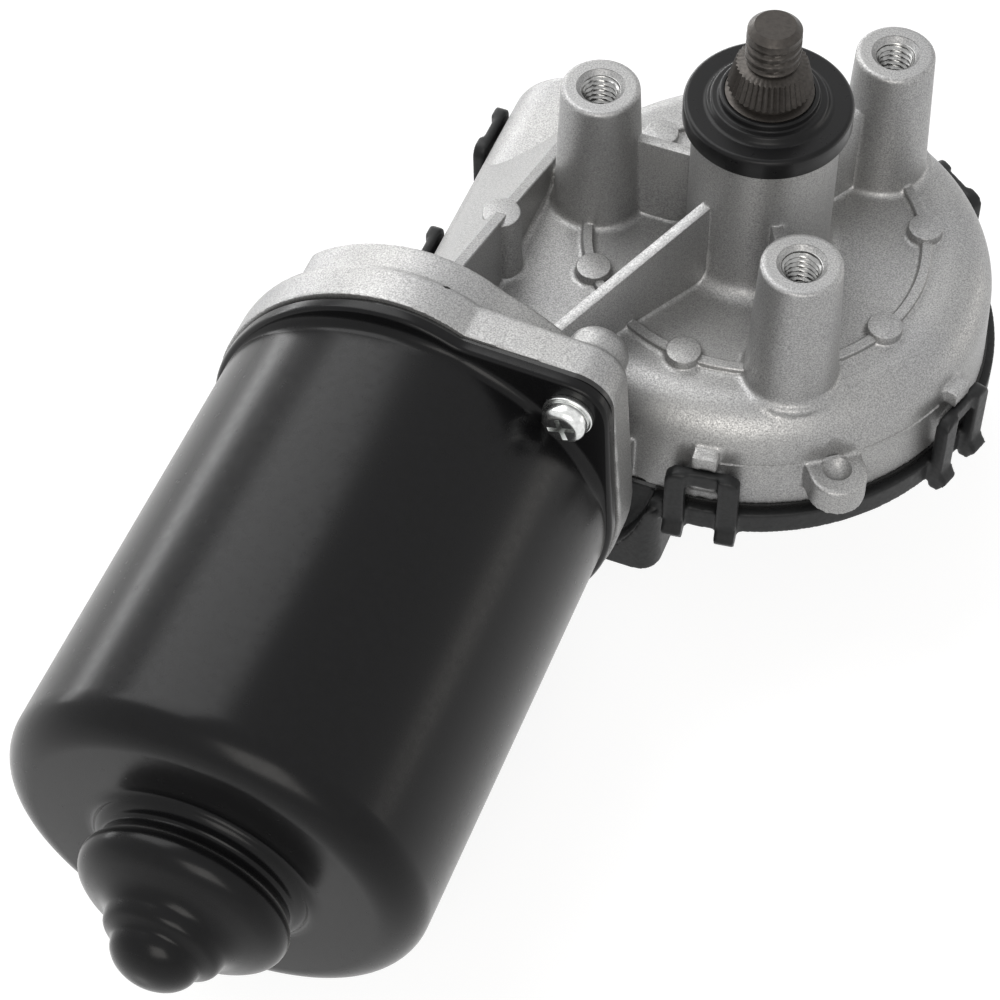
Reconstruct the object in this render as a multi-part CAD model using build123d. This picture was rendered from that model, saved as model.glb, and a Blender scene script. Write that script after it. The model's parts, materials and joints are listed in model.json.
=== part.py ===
from build123d import *
import os
from math import acos, atan, cos, degrees, pi, radians, sin, sqrt, tan

# A windscreen wiper motor: a worm-gear motor with a can, a die-cast gearbox and a clipped-on cover.
# Frame: the origin is where the output axis crosses the plane of the three boss tops.
# +Z runs up the output shaft, the motor can lies towards -Y, and +X is to the right of it.
# Millimetres. Heights named *_above and *_below are measured from the gearbox face.

# ---------------------------------------------------------------- mounting
boss_height = 24.0          # gearbox face to the boss tops
boss_circle_dia = 52.0
boss_count = 3
boss_start_angle = 180.0
boss_top_r = 6.0
boss_base_r = 7.0
boss_hole_dia = 5.0         # minor diameter of an M6 thread
boss_hole_depth = 18.0
boss_hole_mouth_dia = 6.6
boss_mouth_depth = 0.8
face_z = -boss_height

# ---------------------------------------------------------------- worm drive
gear_module = 1.0
wheel_teeth = 63
wheel_width = 8.0
worm_pitch_dia = 10.5
worm_length = 16.8
flank_angle = 20.0
gear_backlash = 0.16        # taken off each tooth and off the thread
worm_drop = 12.4            # gearbox face down to the worm axis
wheel_pitch_r = gear_module * wheel_teeth / 2
worm_pitch_r = worm_pitch_dia / 2
tooth_root_depth = 1.25 * gear_module
wheel_tip_r = wheel_pitch_r + gear_module
wheel_root_r = wheel_pitch_r - tooth_root_depth
worm_tip_r = worm_pitch_r + gear_module
worm_root_r = worm_pitch_r - tooth_root_depth
worm_lead = pi * gear_module
lead_angle = degrees(atan(worm_lead / (pi * worm_pitch_dia)))
worm_x = -(wheel_pitch_r + worm_pitch_r)
worm_z = face_z - worm_drop

# ---------------------------------------------------------------- fits
running_gap = 0.05          # radial, turning in a bush or bearing
seat_gap = 0.02             # radial, a pressed or pushed seat
slip_gap = 0.1              # axial, between turning and fixed faces
clear_gap = 0.4             # between pieces that never touch
overlap = 1.0               # how far shapes of one piece run into each other

# ---------------------------------------------------------------- gearbox housing
bowl_wall = 3.1
wheel_side_gap = 1.7        # wheel tips to the bowl wall
ceiling_thickness = 2.8
rim_drop = 17.8             # gearbox face down to the cover joint
bowl_draft = 0.7            # how much the bowl narrows up to its face
bowl_round = 7.0
cavity_round = 3.0
cavity_r = wheel_tip_r + wheel_side_gap
bowl_r = cavity_r + bowl_wall
rim_z = face_z - rim_drop
ceiling_z = face_z - ceiling_thickness
thrust_boss_r = 11.5
thrust_boss_depth = 2.6

neck_r = 11.0
neck_above = 27.8
neck_top_z = face_z + neck_above

worm_side_gap = 0.95        # worm tips to their bore
worm_bore_r = worm_tip_r + worm_side_gap
tunnel_wall = 5.1
tunnel_r = worm_bore_r + tunnel_wall
tunnel_end_y = 24.0
tunnel_round = 2.0
worm_window_clear = 1.5     # window along the worm, past each end of the thread

deck_right_x = -16.0        # flat deck in the corner between bowl, bell and stiffening wall
deck_end_y = 16.0

crest_offset = 3.15         # stiffening wall beside the tunnel, worm axis to its inner face
crest_width = 1.8
crest_above_at_bell = 19.0
crest_slope = 0.373
crest_foot_inset = 0.3      # the slope meets the tunnel's side this far in and this high up
crest_foot_rise = 2.5
crest_knob_r = 2.9
crest_knob_inset = 1.0      # knob's middle, in from the wall's inner face
crest_knob_y = -18.8
crest_knob_above = 12.1

bell_rear_y = -37.5
bell_shoulder_y = -39.2     # back of the bell's round part
bell_shoulder_round = 1.6
flange_y = -49.0            # joint face of the bell, where the can bolts on
bell_r = 30.3
bell_bore_r = 29.0
bell_floor = 3.5
bell_screw_floor = 1.5      # metal left behind each screw hole
bearing_hub_r = 12.9
hub_front_wall = 2.5        # in front of the ball bearing
saddle_r = 31.8             # the bell's back above the tunnel, as wide as the gearbox behind it
saddle_crown_rise = 2.3
saddle_left = 20.5          # left of the motor axis
saddle_right = 23.0
saddle_round = 4.0
bell_web_x = -6.5           # web joining the bell to the bowl, below the parting line
bell_web_start_y = -43.0
bell_web_end_y = -34.0
parting_below = 8.8
low_tunnel_wall = 2.0       # round the worm bore, below the cover joint
low_tunnel_past_bush = 1.6
brush_ledge_depth = 3.0
brush_ledge_width = 2.0
crown_angle = 96.0
crown_r = 20.0
flange_thickness = 6.2
flange_room = 2.1           # round the flange, left free by the cover

flange_r = 32.8
flange_crown_rise = 2.4
can_flange_inset = 0.4      # the can's flange inside the bell's
can_seal_inset = 0.8
ear_angle = 45.0
ear_r = 5.8
screw_circle_r = 36.2
screw_boss_r = 4.6

rib_width = 1.8
rib_above = 15.5
brace_angle = -120.0
brace_above_neck = 17.0
brace_above_bell = 7.4
pad_angles = (24.0, -24.0, 96.0, -96.0, 144.0, -144.0)
pad_r = 2.5
pad_above = 1.8
ring_rib_width = 1.6
ring_rib_above = 1.1

spot_ear_angle = -52.5
spot_ear_r = 4.4
spot_ear_root = 33.0        # inside the bowl's wall
spot_ear_reach = 39.4
spot_ear_height = 5.1
spot_hole_r = 2.2
spot_hole_reach = 39.0
spot_hole_depth = 3.2
spot_tool_r = 2.6           # the tool's path down to the hole, which grazes the bowl
spot_tool_height = 6.0

# ---------------------------------------------------------------- output shaft and its parts
shaft_r = 6.5
shaft_below = 18.0
serration_start_above = 34.2
serration_height = 4.0
serration_base_r = 6.3
serration_top_r = 5.3
serration_depth = 0.35
serration_count = 40
serration_relief = 1.0      # shaft turned down above the cap, before the serrations
stud_r = 4.0                # M8
stud_tip_r = 3.1
stud_tip_chamfer = 1.6
stud_top_above = 45.6

bush_wall = 2.1
upper_bush_length = 11.0
lower_bush_length = 11.0
seal_cord_r = 1.0
shaft_washer_r = 9.0
shaft_washer_thickness = 0.5
circlip_r = 8.2
circlip_thickness = 1.0
circlip_groove_depth = 0.7
circlip_gap_deg = 70.0

cap_r = 12.5
cap_skirt_below = 0.8       # skirt reaches past the neck's top
cap_thickness = 2.8
cap_rim_round = 0.7
cap_dish = 0.3              # the disc's middle below its rim
cap_rim_width = 1.6
cap_lip_r = 7.8
cap_lip_height = 0.9
cap_lip_foot = 0.8          # the outer lip's flare at its foot
cap_lip_round = 0.2
cap_inner_lip_r = 7.0
cap_inner_lip_height = 2.1
cap_room_r = 9.6
cap_room_height = 1.9

wheel_web_thickness = 4.4
wheel_rim_depth = 3.2
wheel_rim_wall = 4.0
hub_r = 12.0
hub_flange_r = 15.0
hub_flange_thickness = 1.6
wave_washer_r = 10.5
wave_washer_thickness = 0.5
park_plate_thickness = 0.6
park_plate_inner_r = 15.5
park_track_r = 21.5
park_notch_deg = 42.0

# ---------------------------------------------------------------- motor can
can_r = 31.5
can_wall = 1.8
can_flange_thickness = 1.8
can_seal_thickness = 0.8
can_end_y = -124.2
can_end_round = 5.8
nose_ring_r = 15.2
nose_ring_length = 7.9
nose_ring_round = 2.6
nose_step_r = 9.2
nose_step_length = 5.8
nose_step_round = 2.2
nose_dome_r = 6.2
nose_dome_length = 5.7
nose_dome_round = 5.6
nose_foot_round = 1.2       # where the ring stands on the can's end
nose_neck_round = 0.8

magnet_count = 4
magnet_thickness = 6.0
magnet_length = 46.0
magnet_span_deg = 70.0
magnet_rear_gap = 9.0       # can floor to the magnets
air_gap = 0.6

core_length = 38.0
core_slots = 12
slot_mouth = 2.0
slot_depth = 8.5
core_hub_r = 7.5
end_turn_height = 6.0
insulator_thickness = 1.2
winding_inset = 0.6

armature_shaft_r = 4.0
shaft_tail_y = 17.2
commutator_r = 10.5
commutator_length = 15.0
commutator_bars_count = 12
commutator_bar_gap_deg = 3.0
commutator_bar_depth = 2.2
commutator_front_y = -44.5

ball_bearing_r = 11.0
ball_bearing_width = 7.0
ball_bearing_balls = 7
bearing_ball_r = 1.9
bearing_race_wall = 1.9
cage_thickness = 1.2
cage_margin = 0.7
bearing_washer_r = 15.0
bearing_washer_thickness = 0.8
collar_r = 6.2

end_bush_wall = 2.6
end_bush_y = 13.2
end_bush_length = 5.6
thrust_pad_length = 1.8
thrust_screw_r = 4.0        # M8
thrust_screw_inset = 0.6
thrust_slot_width = 1.2
thrust_slot_depth = 1.6

rear_bush_length = 8.0
rear_bush_offset = 3.2      # ball centre back from the nose step
retainer_thickness = 0.5
retainer_skirt_depth = 1.6  # skirt's reach into the nose's bore
retainer_teeth = 8
retainer_bore_r = 6.2
rear_pad_thickness = 1.2
rear_pad_y = -136.6

# ---------------------------------------------------------------- brush gear
brush_plate_thickness = 2.0
brush_plate_bore_r = 12.4
brush_angles = (15.0, 105.0, 240.0)
brush_width = 4.6
brush_height = 6.4
brush_length = 8.0
holder_wall = 0.6
holder_inner_r = 12.6
holder_rim_gap = 2.6        # holders to the bell's bore
brush_spring_r = 1.8
brush_spring_wire_r = 0.3
brush_spring_turns = 4
choke_angles = (60.0, 152.0)
choke_radius = 21.0
choke_core_r = 1.7
choke_core_length = 13.0
choke_wire_r = 0.5
choke_turns = 8
breaker_angle = 292.0
breaker_radius = 20.5
breaker_size = (9.0, 7.0, 4.5)

# ---------------------------------------------------------------- screws
screw_r = 2.5
screw_core_r = 2.1
screw_length = 12.0
screw_head_r = 3.6
screw_head_height = 2.5
screw_head_round = 1.0
screw_slot_width = 1.0
screw_slot_depth = 1.2
screw_slot_share = 1.3      # slot's length over the head's radius
screw_washer_r = 4.0
screw_washer_thickness = 0.9

# ---------------------------------------------------------------- cover
cover_seal_thickness = 0.9
cover_seal_overhang = 0.3
cover_overhang = 1.6
cover_depth = 5.4           # rim joint down to the cover's underside
cover_floor = 2.2
cover_wall = 3.0
tunnel_side_round = 2.5
cover_angles = (-82.0, -17.8, 53.2)
stop_lug_angles = (-82.0, -17.8)
cover_side_clip_ys = (15.4, -12.6)
side_clip_inset = 0.9       # the side clips sit this much nearer their wall
clip_width = 11.3
clip_leg_width = 3.15
clip_bar_height = 3.1
clip_gap = 1.2              # bowl wall to the clip's inner face
clip_bar_reach = 2.7        # bowl wall to the bar's outer face
clip_leg_reach = 3.4
clip_top_round = 0.6
clip_root = 0.6             # how far a leg's foot is rooted in the cover's side
clip_foot_reach = 4.6
clip_foot_tip_reach = 3.1
clip_foot_swell = 2.4       # the foot's widest place above its end
clip_foot_start = 4.4       # where the leg begins to swell, above its end
clip_top_below = 8.7
clip_foot_below = 24.6
clip_foot_inner = 1.5
lug_root = 2.0
lug_height = 4.0
lug_reach = 2.3
lug_side_gap = 0.5
lug_top_gap = 0.4
stop_lug_width = 3.9
stop_lug_height = 2.6
stop_lug_reach = 1.9
stop_lug_root = 3.0
stop_lug_gap = 0.3

connector_x = -6.6          # middle of the socket
connector_y = -32.5
socket_width = 8.5
socket_breadth = 7.0
connector_drop = 12.9
connector_wall = 1.5
connector_web = 2.2         # the socket's end below the cover's underside
connector_toe = 3.3         # solid step of the block, reaching under the bell
connector_round = 1.5
connector_front_round = 3.5
terminal_count = 4
terminal_pitch = 2.1
terminal_width = 1.2
terminal_thickness = 0.6
terminal_reach = 5.4
terminal_tail_height = 1.0
park_spring_count = 3
park_spring_width = 2.4
park_spring_thickness = 0.4
park_spring_length = 15.0
park_spring_spread = 4.4
park_spring_angle = -75.0

# ---------------------------------------------------------------- worked out from the above
cover_joint_z = rim_z - cover_seal_thickness
cover_bottom_z = rim_z - cover_depth
cover_floor_z = cover_bottom_z + cover_floor
tunnel_side_x = worm_x - tunnel_r
can_front_y = flange_y - can_seal_thickness
can_bore_r = can_r - can_wall
holder_outer_r = bell_bore_r - holder_rim_gap
bell_floor_y = bell_rear_y - bell_floor
brush_plate_y = bell_floor_y - brush_ledge_depth
bush_outer_r = shaft_r + bush_wall
magnet_outer_r = can_bore_r - seat_gap
magnet_inner_r = magnet_outer_r - magnet_thickness
core_r = magnet_inner_r - air_gap
magnet_rear_y = can_end_y + can_wall + magnet_rear_gap
core_mid_y = magnet_rear_y + magnet_length / 2
core_rear_y = core_mid_y - core_length / 2
core_front_y = core_mid_y + core_length / 2
bearing_front_y = bell_floor_y + ball_bearing_width
hub_front_y = bearing_front_y + hub_front_wall
low_tunnel_r = worm_bore_r + low_tunnel_wall
low_tunnel_end_y = end_bush_y + end_bush_length + low_tunnel_past_bush
nose_ring_y = can_end_y - nose_ring_length
nose_step_y = nose_ring_y - nose_step_length
nose_tip_y = nose_step_y - nose_dome_length
nose_bore_r = nose_ring_r - can_wall
step_bore_r = nose_step_r - can_wall
dome_bore_r = nose_dome_r - can_wall
screw_seat_y = can_front_y - can_flange_thickness
wheel_bottom_z = worm_z - wheel_width / 2
wheel_top_z = worm_z + wheel_width / 2

MOTOR_AXIS = Axis((worm_x, 0, worm_z), (0, 1, 0))
MOTOR_PLANE = Plane(origin=(worm_x, 0, worm_z), x_dir=(0, 1, 0), z_dir=(1, 0, 0))


# ---------------------------------------------------------------- shared shapes
def outline(points):
    """A closed flat outline of (along, out) points; a third number rounds that corner."""
    face = make_face(Polyline(*[(point[0], point[1]) for point in points], close=True))
    for point in points:
        if len(point) > 2:
            corner = face.vertices().sort_by_distance((point[0], point[1], 0))[0]
            face = fillet(corner, point[2])
    return face


def turned_on_motor(points):
    """A solid turned about the motor axis from (y, radius) points."""
    return revolve(MOTOR_PLANE * outline(points), MOTOR_AXIS)


def turned_on_output(points):
    """A solid turned about the output axis from (radius, height) points."""
    return revolve(Plane.XZ * outline(points), Axis.Z)


def motor_ring(start_y, end_y, inner_r, outer_r):
    """A plain ring, or a disc where the inner radius is 0, about the motor axis."""
    return turned_on_motor([(start_y, inner_r), (start_y, outer_r), (end_y, outer_r), (end_y, inner_r)])


def output_ring(low_z, high_z, inner_r, outer_r):
    """A plain ring, or a disc where the inner radius is 0, about the output axis."""
    return turned_on_output([(inner_r, low_z), (outer_r, low_z), (outer_r, high_z), (inner_r, high_z)])


def box_between(low, high):
    """A box between two corners."""
    size = [high[i] - low[i] for i in range(3)]
    middle = [(high[i] + low[i]) / 2 for i in range(3)]
    return Pos(*middle) * Box(*size)


def box_cylinder(x, y, low_z, high_z, radius):
    """An upright cylinder between two heights."""
    return Pos(x, y, (low_z + high_z) / 2) * Cylinder(radius, high_z - low_z)


def about_motor(angle):
    """Places a shape made on the motor axis's +X side at an angle, turning from +X towards +Z."""
    return Pos(worm_x, 0, worm_z) * Rot(0, -angle, 0)


def motor_prism(face, start_y, end_y):
    """An outline drawn in (x, z) about the motor axis, run from one y to the other."""
    plane = Plane(origin=(worm_x, end_y, worm_z), x_dir=(1, 0, 0), z_dir=(0, -1, 0))
    return extrude(plane * face, end_y - start_y)


def save(name, shape):
    export_step(shape, os.path.join("parts", name + ".step"))


# ---------------------------------------------------------------- outlines shared by housing, can and seals
def on_circle(radius, angle):
    return (radius * cos(radians(angle)), radius * sin(radians(angle)))


def eared_outline(base_r, crown_rise, ears=True):
    """The bell's outline: a circle, a shallow crown each side and two tangent screw ears."""
    face = Circle(base_r)
    for half in (0, 180):
        crown = on_circle(base_r + crown_rise - crown_r, crown_angle + half)
        face += Pos(*crown) * Circle(crown_r)
        if ears:
            spread = degrees(acos((base_r - ear_r) / screw_circle_r))
            centre = on_circle(screw_circle_r, ear_angle + half)
            face += Pos(*centre) * Circle(ear_r)
            corners = []
            for side in (1, -1):
                angle = ear_angle + half + side * spread
                tip = on_circle(ear_r, angle)
                ends = [on_circle(base_r, angle), (centre[0] + tip[0], centre[1] + tip[1])]
                corners += ends if side > 0 else ends[::-1]
            face += make_face(Polyline(*corners, close=True))
    return face


def screw_places():
    return [on_circle(screw_circle_r, ear_angle + half) for half in (0, 180)]


def tunnel_side(grow, low_y):
    """The case's corner under the worm tunnel, rounded at its far left."""
    low_x = tunnel_side_x - grow
    high_x = worm_x + tunnel_r
    high_y = tunnel_end_y + grow
    return outline([(low_x, low_y), (high_x, low_y), (high_x, high_y), (low_x, high_y, tunnel_side_round)])


def joint_outline(grow):
    """The cover joint's outline: the bowl's circle and the corner under the worm tunnel."""
    low_y = hub_front_y + clear_gap - min(grow, 0)
    return Circle(bowl_r + grow) + tunnel_side(grow, low_y)


# ---------------------------------------------------------------- gearbox housing
def radial_rib(angle, start_r, end_r, start_above, end_above, foot_z):
    """A straight rib standing on the face, pointing away from the output axis."""
    side = outline([
        (start_r, foot_z), (end_r, foot_z), (end_r, face_z + end_above), (start_r, face_z + start_above),
    ])
    rib = extrude(Plane.XZ * side, rib_width / 2, both=True)
    return Rot(0, 0, angle) * rib


def crest_section(y):
    """A slice across the stiffening wall and the slope from its top down to the tunnel's side."""
    height = face_z + crest_above_at_bell - crest_slope * (y - bell_rear_y)
    inner_x = worm_x + crest_offset
    return make_face(Polyline(
        (inner_x, y, worm_z + worm_bore_r), (inner_x, y, height), (inner_x - crest_width, y, height),
        (tunnel_side_x + crest_foot_inset, y, worm_z + crest_foot_rise), close=True,
    ))


def housing_outside():
    body = turned_on_output([
        (0, rim_z), (bowl_r, rim_z), (bowl_r - bowl_draft, face_z, bowl_round), (0, face_z),
    ])
    start_y = bell_rear_y - overlap
    body += extrude(Pos(0, 0, rim_z) * tunnel_side(0, start_y), worm_z - rim_z)
    body += turned_on_motor([
        (start_y, 0), (start_y, tunnel_r), (tunnel_end_y, tunnel_r, tunnel_round), (tunnel_end_y, 0),
    ])
    body += box_between((worm_x + crest_offset, start_y, rim_z), (deck_right_x, deck_end_y, face_z))
    crest_end_y = bell_rear_y + crest_above_at_bell / crest_slope
    body += loft([crest_section(start_y), crest_section(crest_end_y)], ruled=True)
    knob_x = worm_x + crest_offset - crest_knob_inset
    body += box_cylinder(knob_x, crest_knob_y, worm_z, face_z + crest_knob_above, crest_knob_r)
    body += output_ring(ceiling_z, neck_top_z, 0, neck_r)
    for number in range(boss_count):
        angle = boss_start_angle + number * 360 / boss_count
        post = turned_on_output([(0, ceiling_z), (boss_base_r, ceiling_z), (boss_base_r, face_z),
                                 (boss_top_r, 0), (0, 0)])
        body += Rot(0, 0, angle) * Pos(boss_circle_dia / 2, 0, 0) * post
        body += radial_rib(angle, neck_r / 2, boss_circle_dia / 2, rib_above, rib_above, ceiling_z)
    reach = -start_y / cos(radians(brace_angle + 90))
    body += radial_rib(brace_angle, neck_r / 2, reach, brace_above_neck, brace_above_bell,
                       face_z - bowl_round)
    body += output_ring(ceiling_z, face_z + ring_rib_above, boss_circle_dia / 2 - ring_rib_width / 2,
                        boss_circle_dia / 2 + ring_rib_width / 2)
    for angle in pad_angles:
        place = on_circle(boss_circle_dia / 2, angle)
        body += box_cylinder(place[0], place[1], ceiling_z, face_z + pad_above, pad_r)
    body += spot_ear()
    under_joint = box_between((-2 * bowl_r, hub_front_y, rim_z - tunnel_r), (2 * bowl_r, 2 * bowl_r, rim_z))
    body -= under_joint - motor_ring(hub_front_y, low_tunnel_end_y, 0, low_tunnel_r)
    return body + bell_outside()


def spot_ear():
    """A small round-ended ledge on the bowl, with its top at the parting line."""
    top = face_z - parting_below
    ledge = Pos(spot_ear_reach, 0, 0) * Circle(spot_ear_r)
    ledge += outline([(spot_ear_root, -spot_ear_r), (spot_ear_reach, -spot_ear_r),
                      (spot_ear_reach, spot_ear_r), (spot_ear_root, spot_ear_r)])
    return Rot(0, 0, spot_ear_angle) * extrude(Pos(0, 0, top - spot_ear_height) * ledge, spot_ear_height)


def bell_outside():
    """The bell: its eared flange, its round shoulder, the saddle above the tunnel and the bearing's hub."""
    bell = motor_prism(eared_outline(flange_r, flange_crown_rise), flange_y, flange_y + flange_thickness)
    bell += turned_on_motor([
        (flange_y, 0), (flange_y, bell_r), (bell_shoulder_y, bell_r, bell_shoulder_round),
        (bell_shoulder_y, 0),
    ])
    saddle = eared_outline(saddle_r, saddle_crown_rise, ears=False)
    saddle &= outline([(-saddle_left, rim_z - worm_z), (saddle_right, rim_z - worm_z),
                       (saddle_right, saddle_r + crown_r), (-saddle_left, saddle_r + crown_r)])
    corner = saddle.vertices().sort_by_distance((-saddle_left, saddle_r + saddle_crown_rise, 0))[0]
    bell += motor_prism(fillet(corner, saddle_round), flange_y + flange_thickness - overlap, bell_rear_y)
    bell += motor_ring(bell_shoulder_y, hub_front_y, 0, bearing_hub_r)
    bell += box_between((worm_x + saddle_right - overlap, bell_web_start_y, rim_z),
                        (bell_web_x, bell_web_end_y, face_z - parting_below))
    for across, up in screw_places():
        bell += Pos(across, 0, up) * motor_ring(flange_y, bell_rear_y, 0, screw_boss_r)
    return bell


def housing_hollows():
    """Everything cored or machined out of the housing."""
    cut = turned_on_output([
        (0, rim_z - 1), (cavity_r, rim_z - 1), (cavity_r, ceiling_z, cavity_round), (0, ceiling_z),
    ])
    cut -= output_ring(ceiling_z - thrust_boss_depth, ceiling_z + 1, 0, thrust_boss_r)
    cut += output_ring(ceiling_z - thrust_boss_depth - 1, neck_top_z + 1, 0, bush_outer_r + seat_gap)
    half_window = worm_length / 2 + worm_window_clear
    cut += box_between((worm_x - worm_bore_r, -half_window, rim_z - 1),
                       (-cavity_r / 2, half_window, worm_z))
    cut += motor_ring(bearing_front_y, end_bush_y, 0, worm_bore_r)
    cut += motor_ring(end_bush_y, end_bush_y + end_bush_length, 0, end_bush_outer_r() + seat_gap)
    cut += motor_ring(end_bush_y, tunnel_end_y + 1, 0, thrust_screw_r + seat_gap)
    cut += motor_ring(bell_floor_y, bearing_front_y, 0, ball_bearing_r + seat_gap)
    cut += motor_ring(flange_y - 1, brush_plate_y, 0, bell_bore_r)
    cut += motor_ring(brush_plate_y, bell_floor_y, 0, bell_bore_r - brush_ledge_width)
    for across, up in screw_places():
        hole = motor_ring(flange_y - 1, bell_rear_y - bell_screw_floor, 0, screw_core_r)
        cut += Pos(across, 0, up) * hole
    for number in range(boss_count):
        angle = boss_start_angle + number * 360 / boss_count
        cut += Rot(0, 0, angle) * Pos(boss_circle_dia / 2, 0, 0) * boss_hole()
    spot = turned_on_output([(0, -spot_hole_depth), (spot_hole_r, 0), (spot_tool_r, 0),
                             (spot_tool_r, spot_tool_height), (0, spot_tool_height)])
    place = on_circle(spot_hole_reach, spot_ear_angle)
    cut += Pos(place[0], place[1], face_z - parting_below) * spot
    return cut


def boss_hole():
    hole_r = boss_hole_dia / 2
    mouth_r = boss_hole_mouth_dia / 2
    return turned_on_output([
        (0, -boss_hole_depth - hole_r / 2), (hole_r, -boss_hole_depth), (hole_r, -boss_mouth_depth),
        (mouth_r, 0), (mouth_r, 1), (0, 1),
    ])


def end_bush_outer_r():
    return armature_shaft_r + running_gap + end_bush_wall


def clip_frames():
    """Where each clip stands: +X points outwards from the wall and Y runs along it."""
    frames = [Rot(0, 0, angle) * Pos(bowl_r, 0, 0) for angle in cover_angles]
    frames += [Pos(tunnel_side_x + side_clip_inset, y, 0) * Rot(0, 0, 180) for y in cover_side_clip_ys]
    return frames


def cover_lugs():
    """The wedges the clip windows snap over, with a stop block above each clip's bar."""
    window_top = face_z - clip_top_below - clip_bar_height
    wedge = outline([
        (-lug_root, window_top - lug_height), (0, window_top - lug_height),
        (lug_reach, window_top - lug_top_gap), (-lug_root, window_top - lug_top_gap),
    ])
    wedge = extrude(Plane.XZ * wedge, clip_width / 2 - clip_leg_width - lug_side_gap, both=True)
    stop_z = face_z - clip_top_below + stop_lug_gap
    stop = box_between((-stop_lug_root, -stop_lug_width / 2, stop_z),
                       (stop_lug_reach, stop_lug_width / 2, stop_z + stop_lug_height))
    lugs = [frame * wedge for frame in clip_frames()]
    return lugs + [Rot(0, 0, angle) * Pos(bowl_r, 0, 0) * stop for angle in stop_lug_angles]


def gear_housing():
    body = housing_outside()
    for lug in cover_lugs():
        body += lug
    return body - housing_hollows()


# ---------------------------------------------------------------- motor can and its contents
def motor_can():
    shell = turned_on_motor([
        (can_front_y, can_bore_r), (can_front_y, can_r), (can_end_y, can_r, can_end_round),
        (can_end_y, nose_ring_r, nose_foot_round), (nose_ring_y, nose_ring_r, nose_ring_round),
        (nose_ring_y, nose_step_r, nose_neck_round), (nose_step_y, nose_step_r, nose_step_round),
        (nose_step_y, nose_dome_r), (nose_tip_y, nose_dome_r, nose_dome_round),
        (nose_tip_y, 0), (nose_tip_y + can_wall, 0),
        (nose_tip_y + can_wall, dome_bore_r, nose_dome_round - can_wall),
        (nose_step_y + can_wall, dome_bore_r), (nose_step_y + can_wall, step_bore_r),
        (nose_ring_y + can_wall, step_bore_r), (nose_ring_y + can_wall, nose_bore_r),
        (can_end_y + can_wall, nose_bore_r), (can_end_y + can_wall, can_bore_r, can_end_round - can_wall),
    ])
    flat = eared_outline(flange_r - can_flange_inset, flange_crown_rise)
    plate = motor_prism(flat, screw_seat_y, can_front_y)
    plate -= motor_ring(screw_seat_y - 1, can_front_y + 1, 0, can_bore_r)
    hole = motor_ring(screw_seat_y - 1, can_front_y + 1, 0, screw_r + clear_gap / 2)
    for across, up in screw_places():
        plate -= Pos(across, 0, up) * hole
    return shell + plate


def can_seal():
    seal = motor_prism(eared_outline(flange_r - can_seal_inset, flange_crown_rise), can_front_y, flange_y)
    seal -= motor_ring(can_front_y - 1, flange_y + 1, 0, bell_bore_r + can_seal_inset)
    hole = motor_ring(can_front_y - 1, flange_y + 1, 0, screw_r + clear_gap / 2)
    for across, up in screw_places():
        seal -= Pos(across, 0, up) * hole
    return seal


def arc_piece(inner_r, outer_r, span_deg, start_y, end_y):
    """A curved block about the motor axis, centred on its +X side."""
    half = span_deg / 2
    ring = motor_ring(start_y, end_y, inner_r, outer_r)
    reach = outer_r / cos(radians(half)) * 1.2 if half < 60 else outer_r * 4
    wedge = make_face(Polyline((0, 0), on_circle(reach, half), on_circle(reach, -half), close=True))
    return ring & motor_prism(wedge, start_y - 1, end_y + 1)


def magnets():
    block = arc_piece(magnet_inner_r, magnet_outer_r, magnet_span_deg, magnet_rear_y,
                      magnet_rear_y + magnet_length)
    return spread_about_motor(block, [45 + number * 360 / magnet_count for number in range(magnet_count)])


def spread_about_motor(shape, angles):
    """Copies of a shape, turned about the motor axis to each angle."""
    local = Pos(-worm_x, 0, -worm_z) * shape
    return Compound([(about_motor(angle) * local).solid() for angle in angles])


def magnet_clips():
    """Bent spring strips that push neighbouring magnets apart, against the can."""
    gap = 360 / magnet_count - magnet_span_deg
    depth = magnet_outer_r * sin(radians(gap / 2)) - 1.0
    strip = 0.6
    middle_r = magnet_inner_r + magnet_thickness / 2
    half = middle_r * sin(radians(gap / 2)) - 0.35
    u_shape = make_face(Polyline(
        (middle_r - 2, -half), (middle_r + 2, -half), (middle_r + 2, half), (middle_r - 2, half),
        (middle_r - 2, half - strip), (middle_r + 2 - strip, half - strip),
        (middle_r + 2 - strip, strip - half), (middle_r - 2, strip - half), close=True,
    ))
    clip = motor_prism(u_shape, magnet_rear_y + 3, magnet_rear_y + magnet_length - 3)
    return spread_about_motor(clip, [number * 360 / magnet_count for number in range(magnet_count)])


def rear_bush():
    """A ball-shaped sintered bush that lines itself up in the can's nose."""
    ball_r = sqrt(step_bore_r ** 2 + rear_bush_offset ** 2) - seat_gap
    centre_y = nose_ring_y + can_wall + rear_bush_offset
    ball = Pos(worm_x, centre_y, worm_z) * Sphere(ball_r)
    band = motor_ring(centre_y - rear_bush_length / 2, centre_y + rear_bush_length / 2,
                      armature_shaft_r + running_gap, ball_r + 1)
    return ball & band


def rear_bush_retainer():
    """A toothed spring ring holding the bush back, with a skirt pressed into the nose."""
    centre_y = nose_ring_y + can_wall + rear_bush_offset
    ball_r = sqrt(step_bore_r ** 2 + rear_bush_offset ** 2)
    seat_y = centre_y + sqrt(ball_r ** 2 - retainer_bore_r ** 2) + seat_gap
    outer_r = nose_bore_r - seat_gap
    skirt_y = can_end_y + can_wall - retainer_skirt_depth
    ring = motor_ring(seat_y, seat_y + retainer_thickness, retainer_bore_r, outer_r)
    ring += motor_ring(skirt_y, seat_y + retainer_thickness, outer_r - retainer_thickness, outer_r)
    for number in range(retainer_teeth):
        notch = Pos(retainer_bore_r + 2.0, seat_y, 0) * Box(3.0, 4.0, 1.0)
        ring -= about_motor(number * 360 / retainer_teeth) * notch
    return ring


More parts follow.
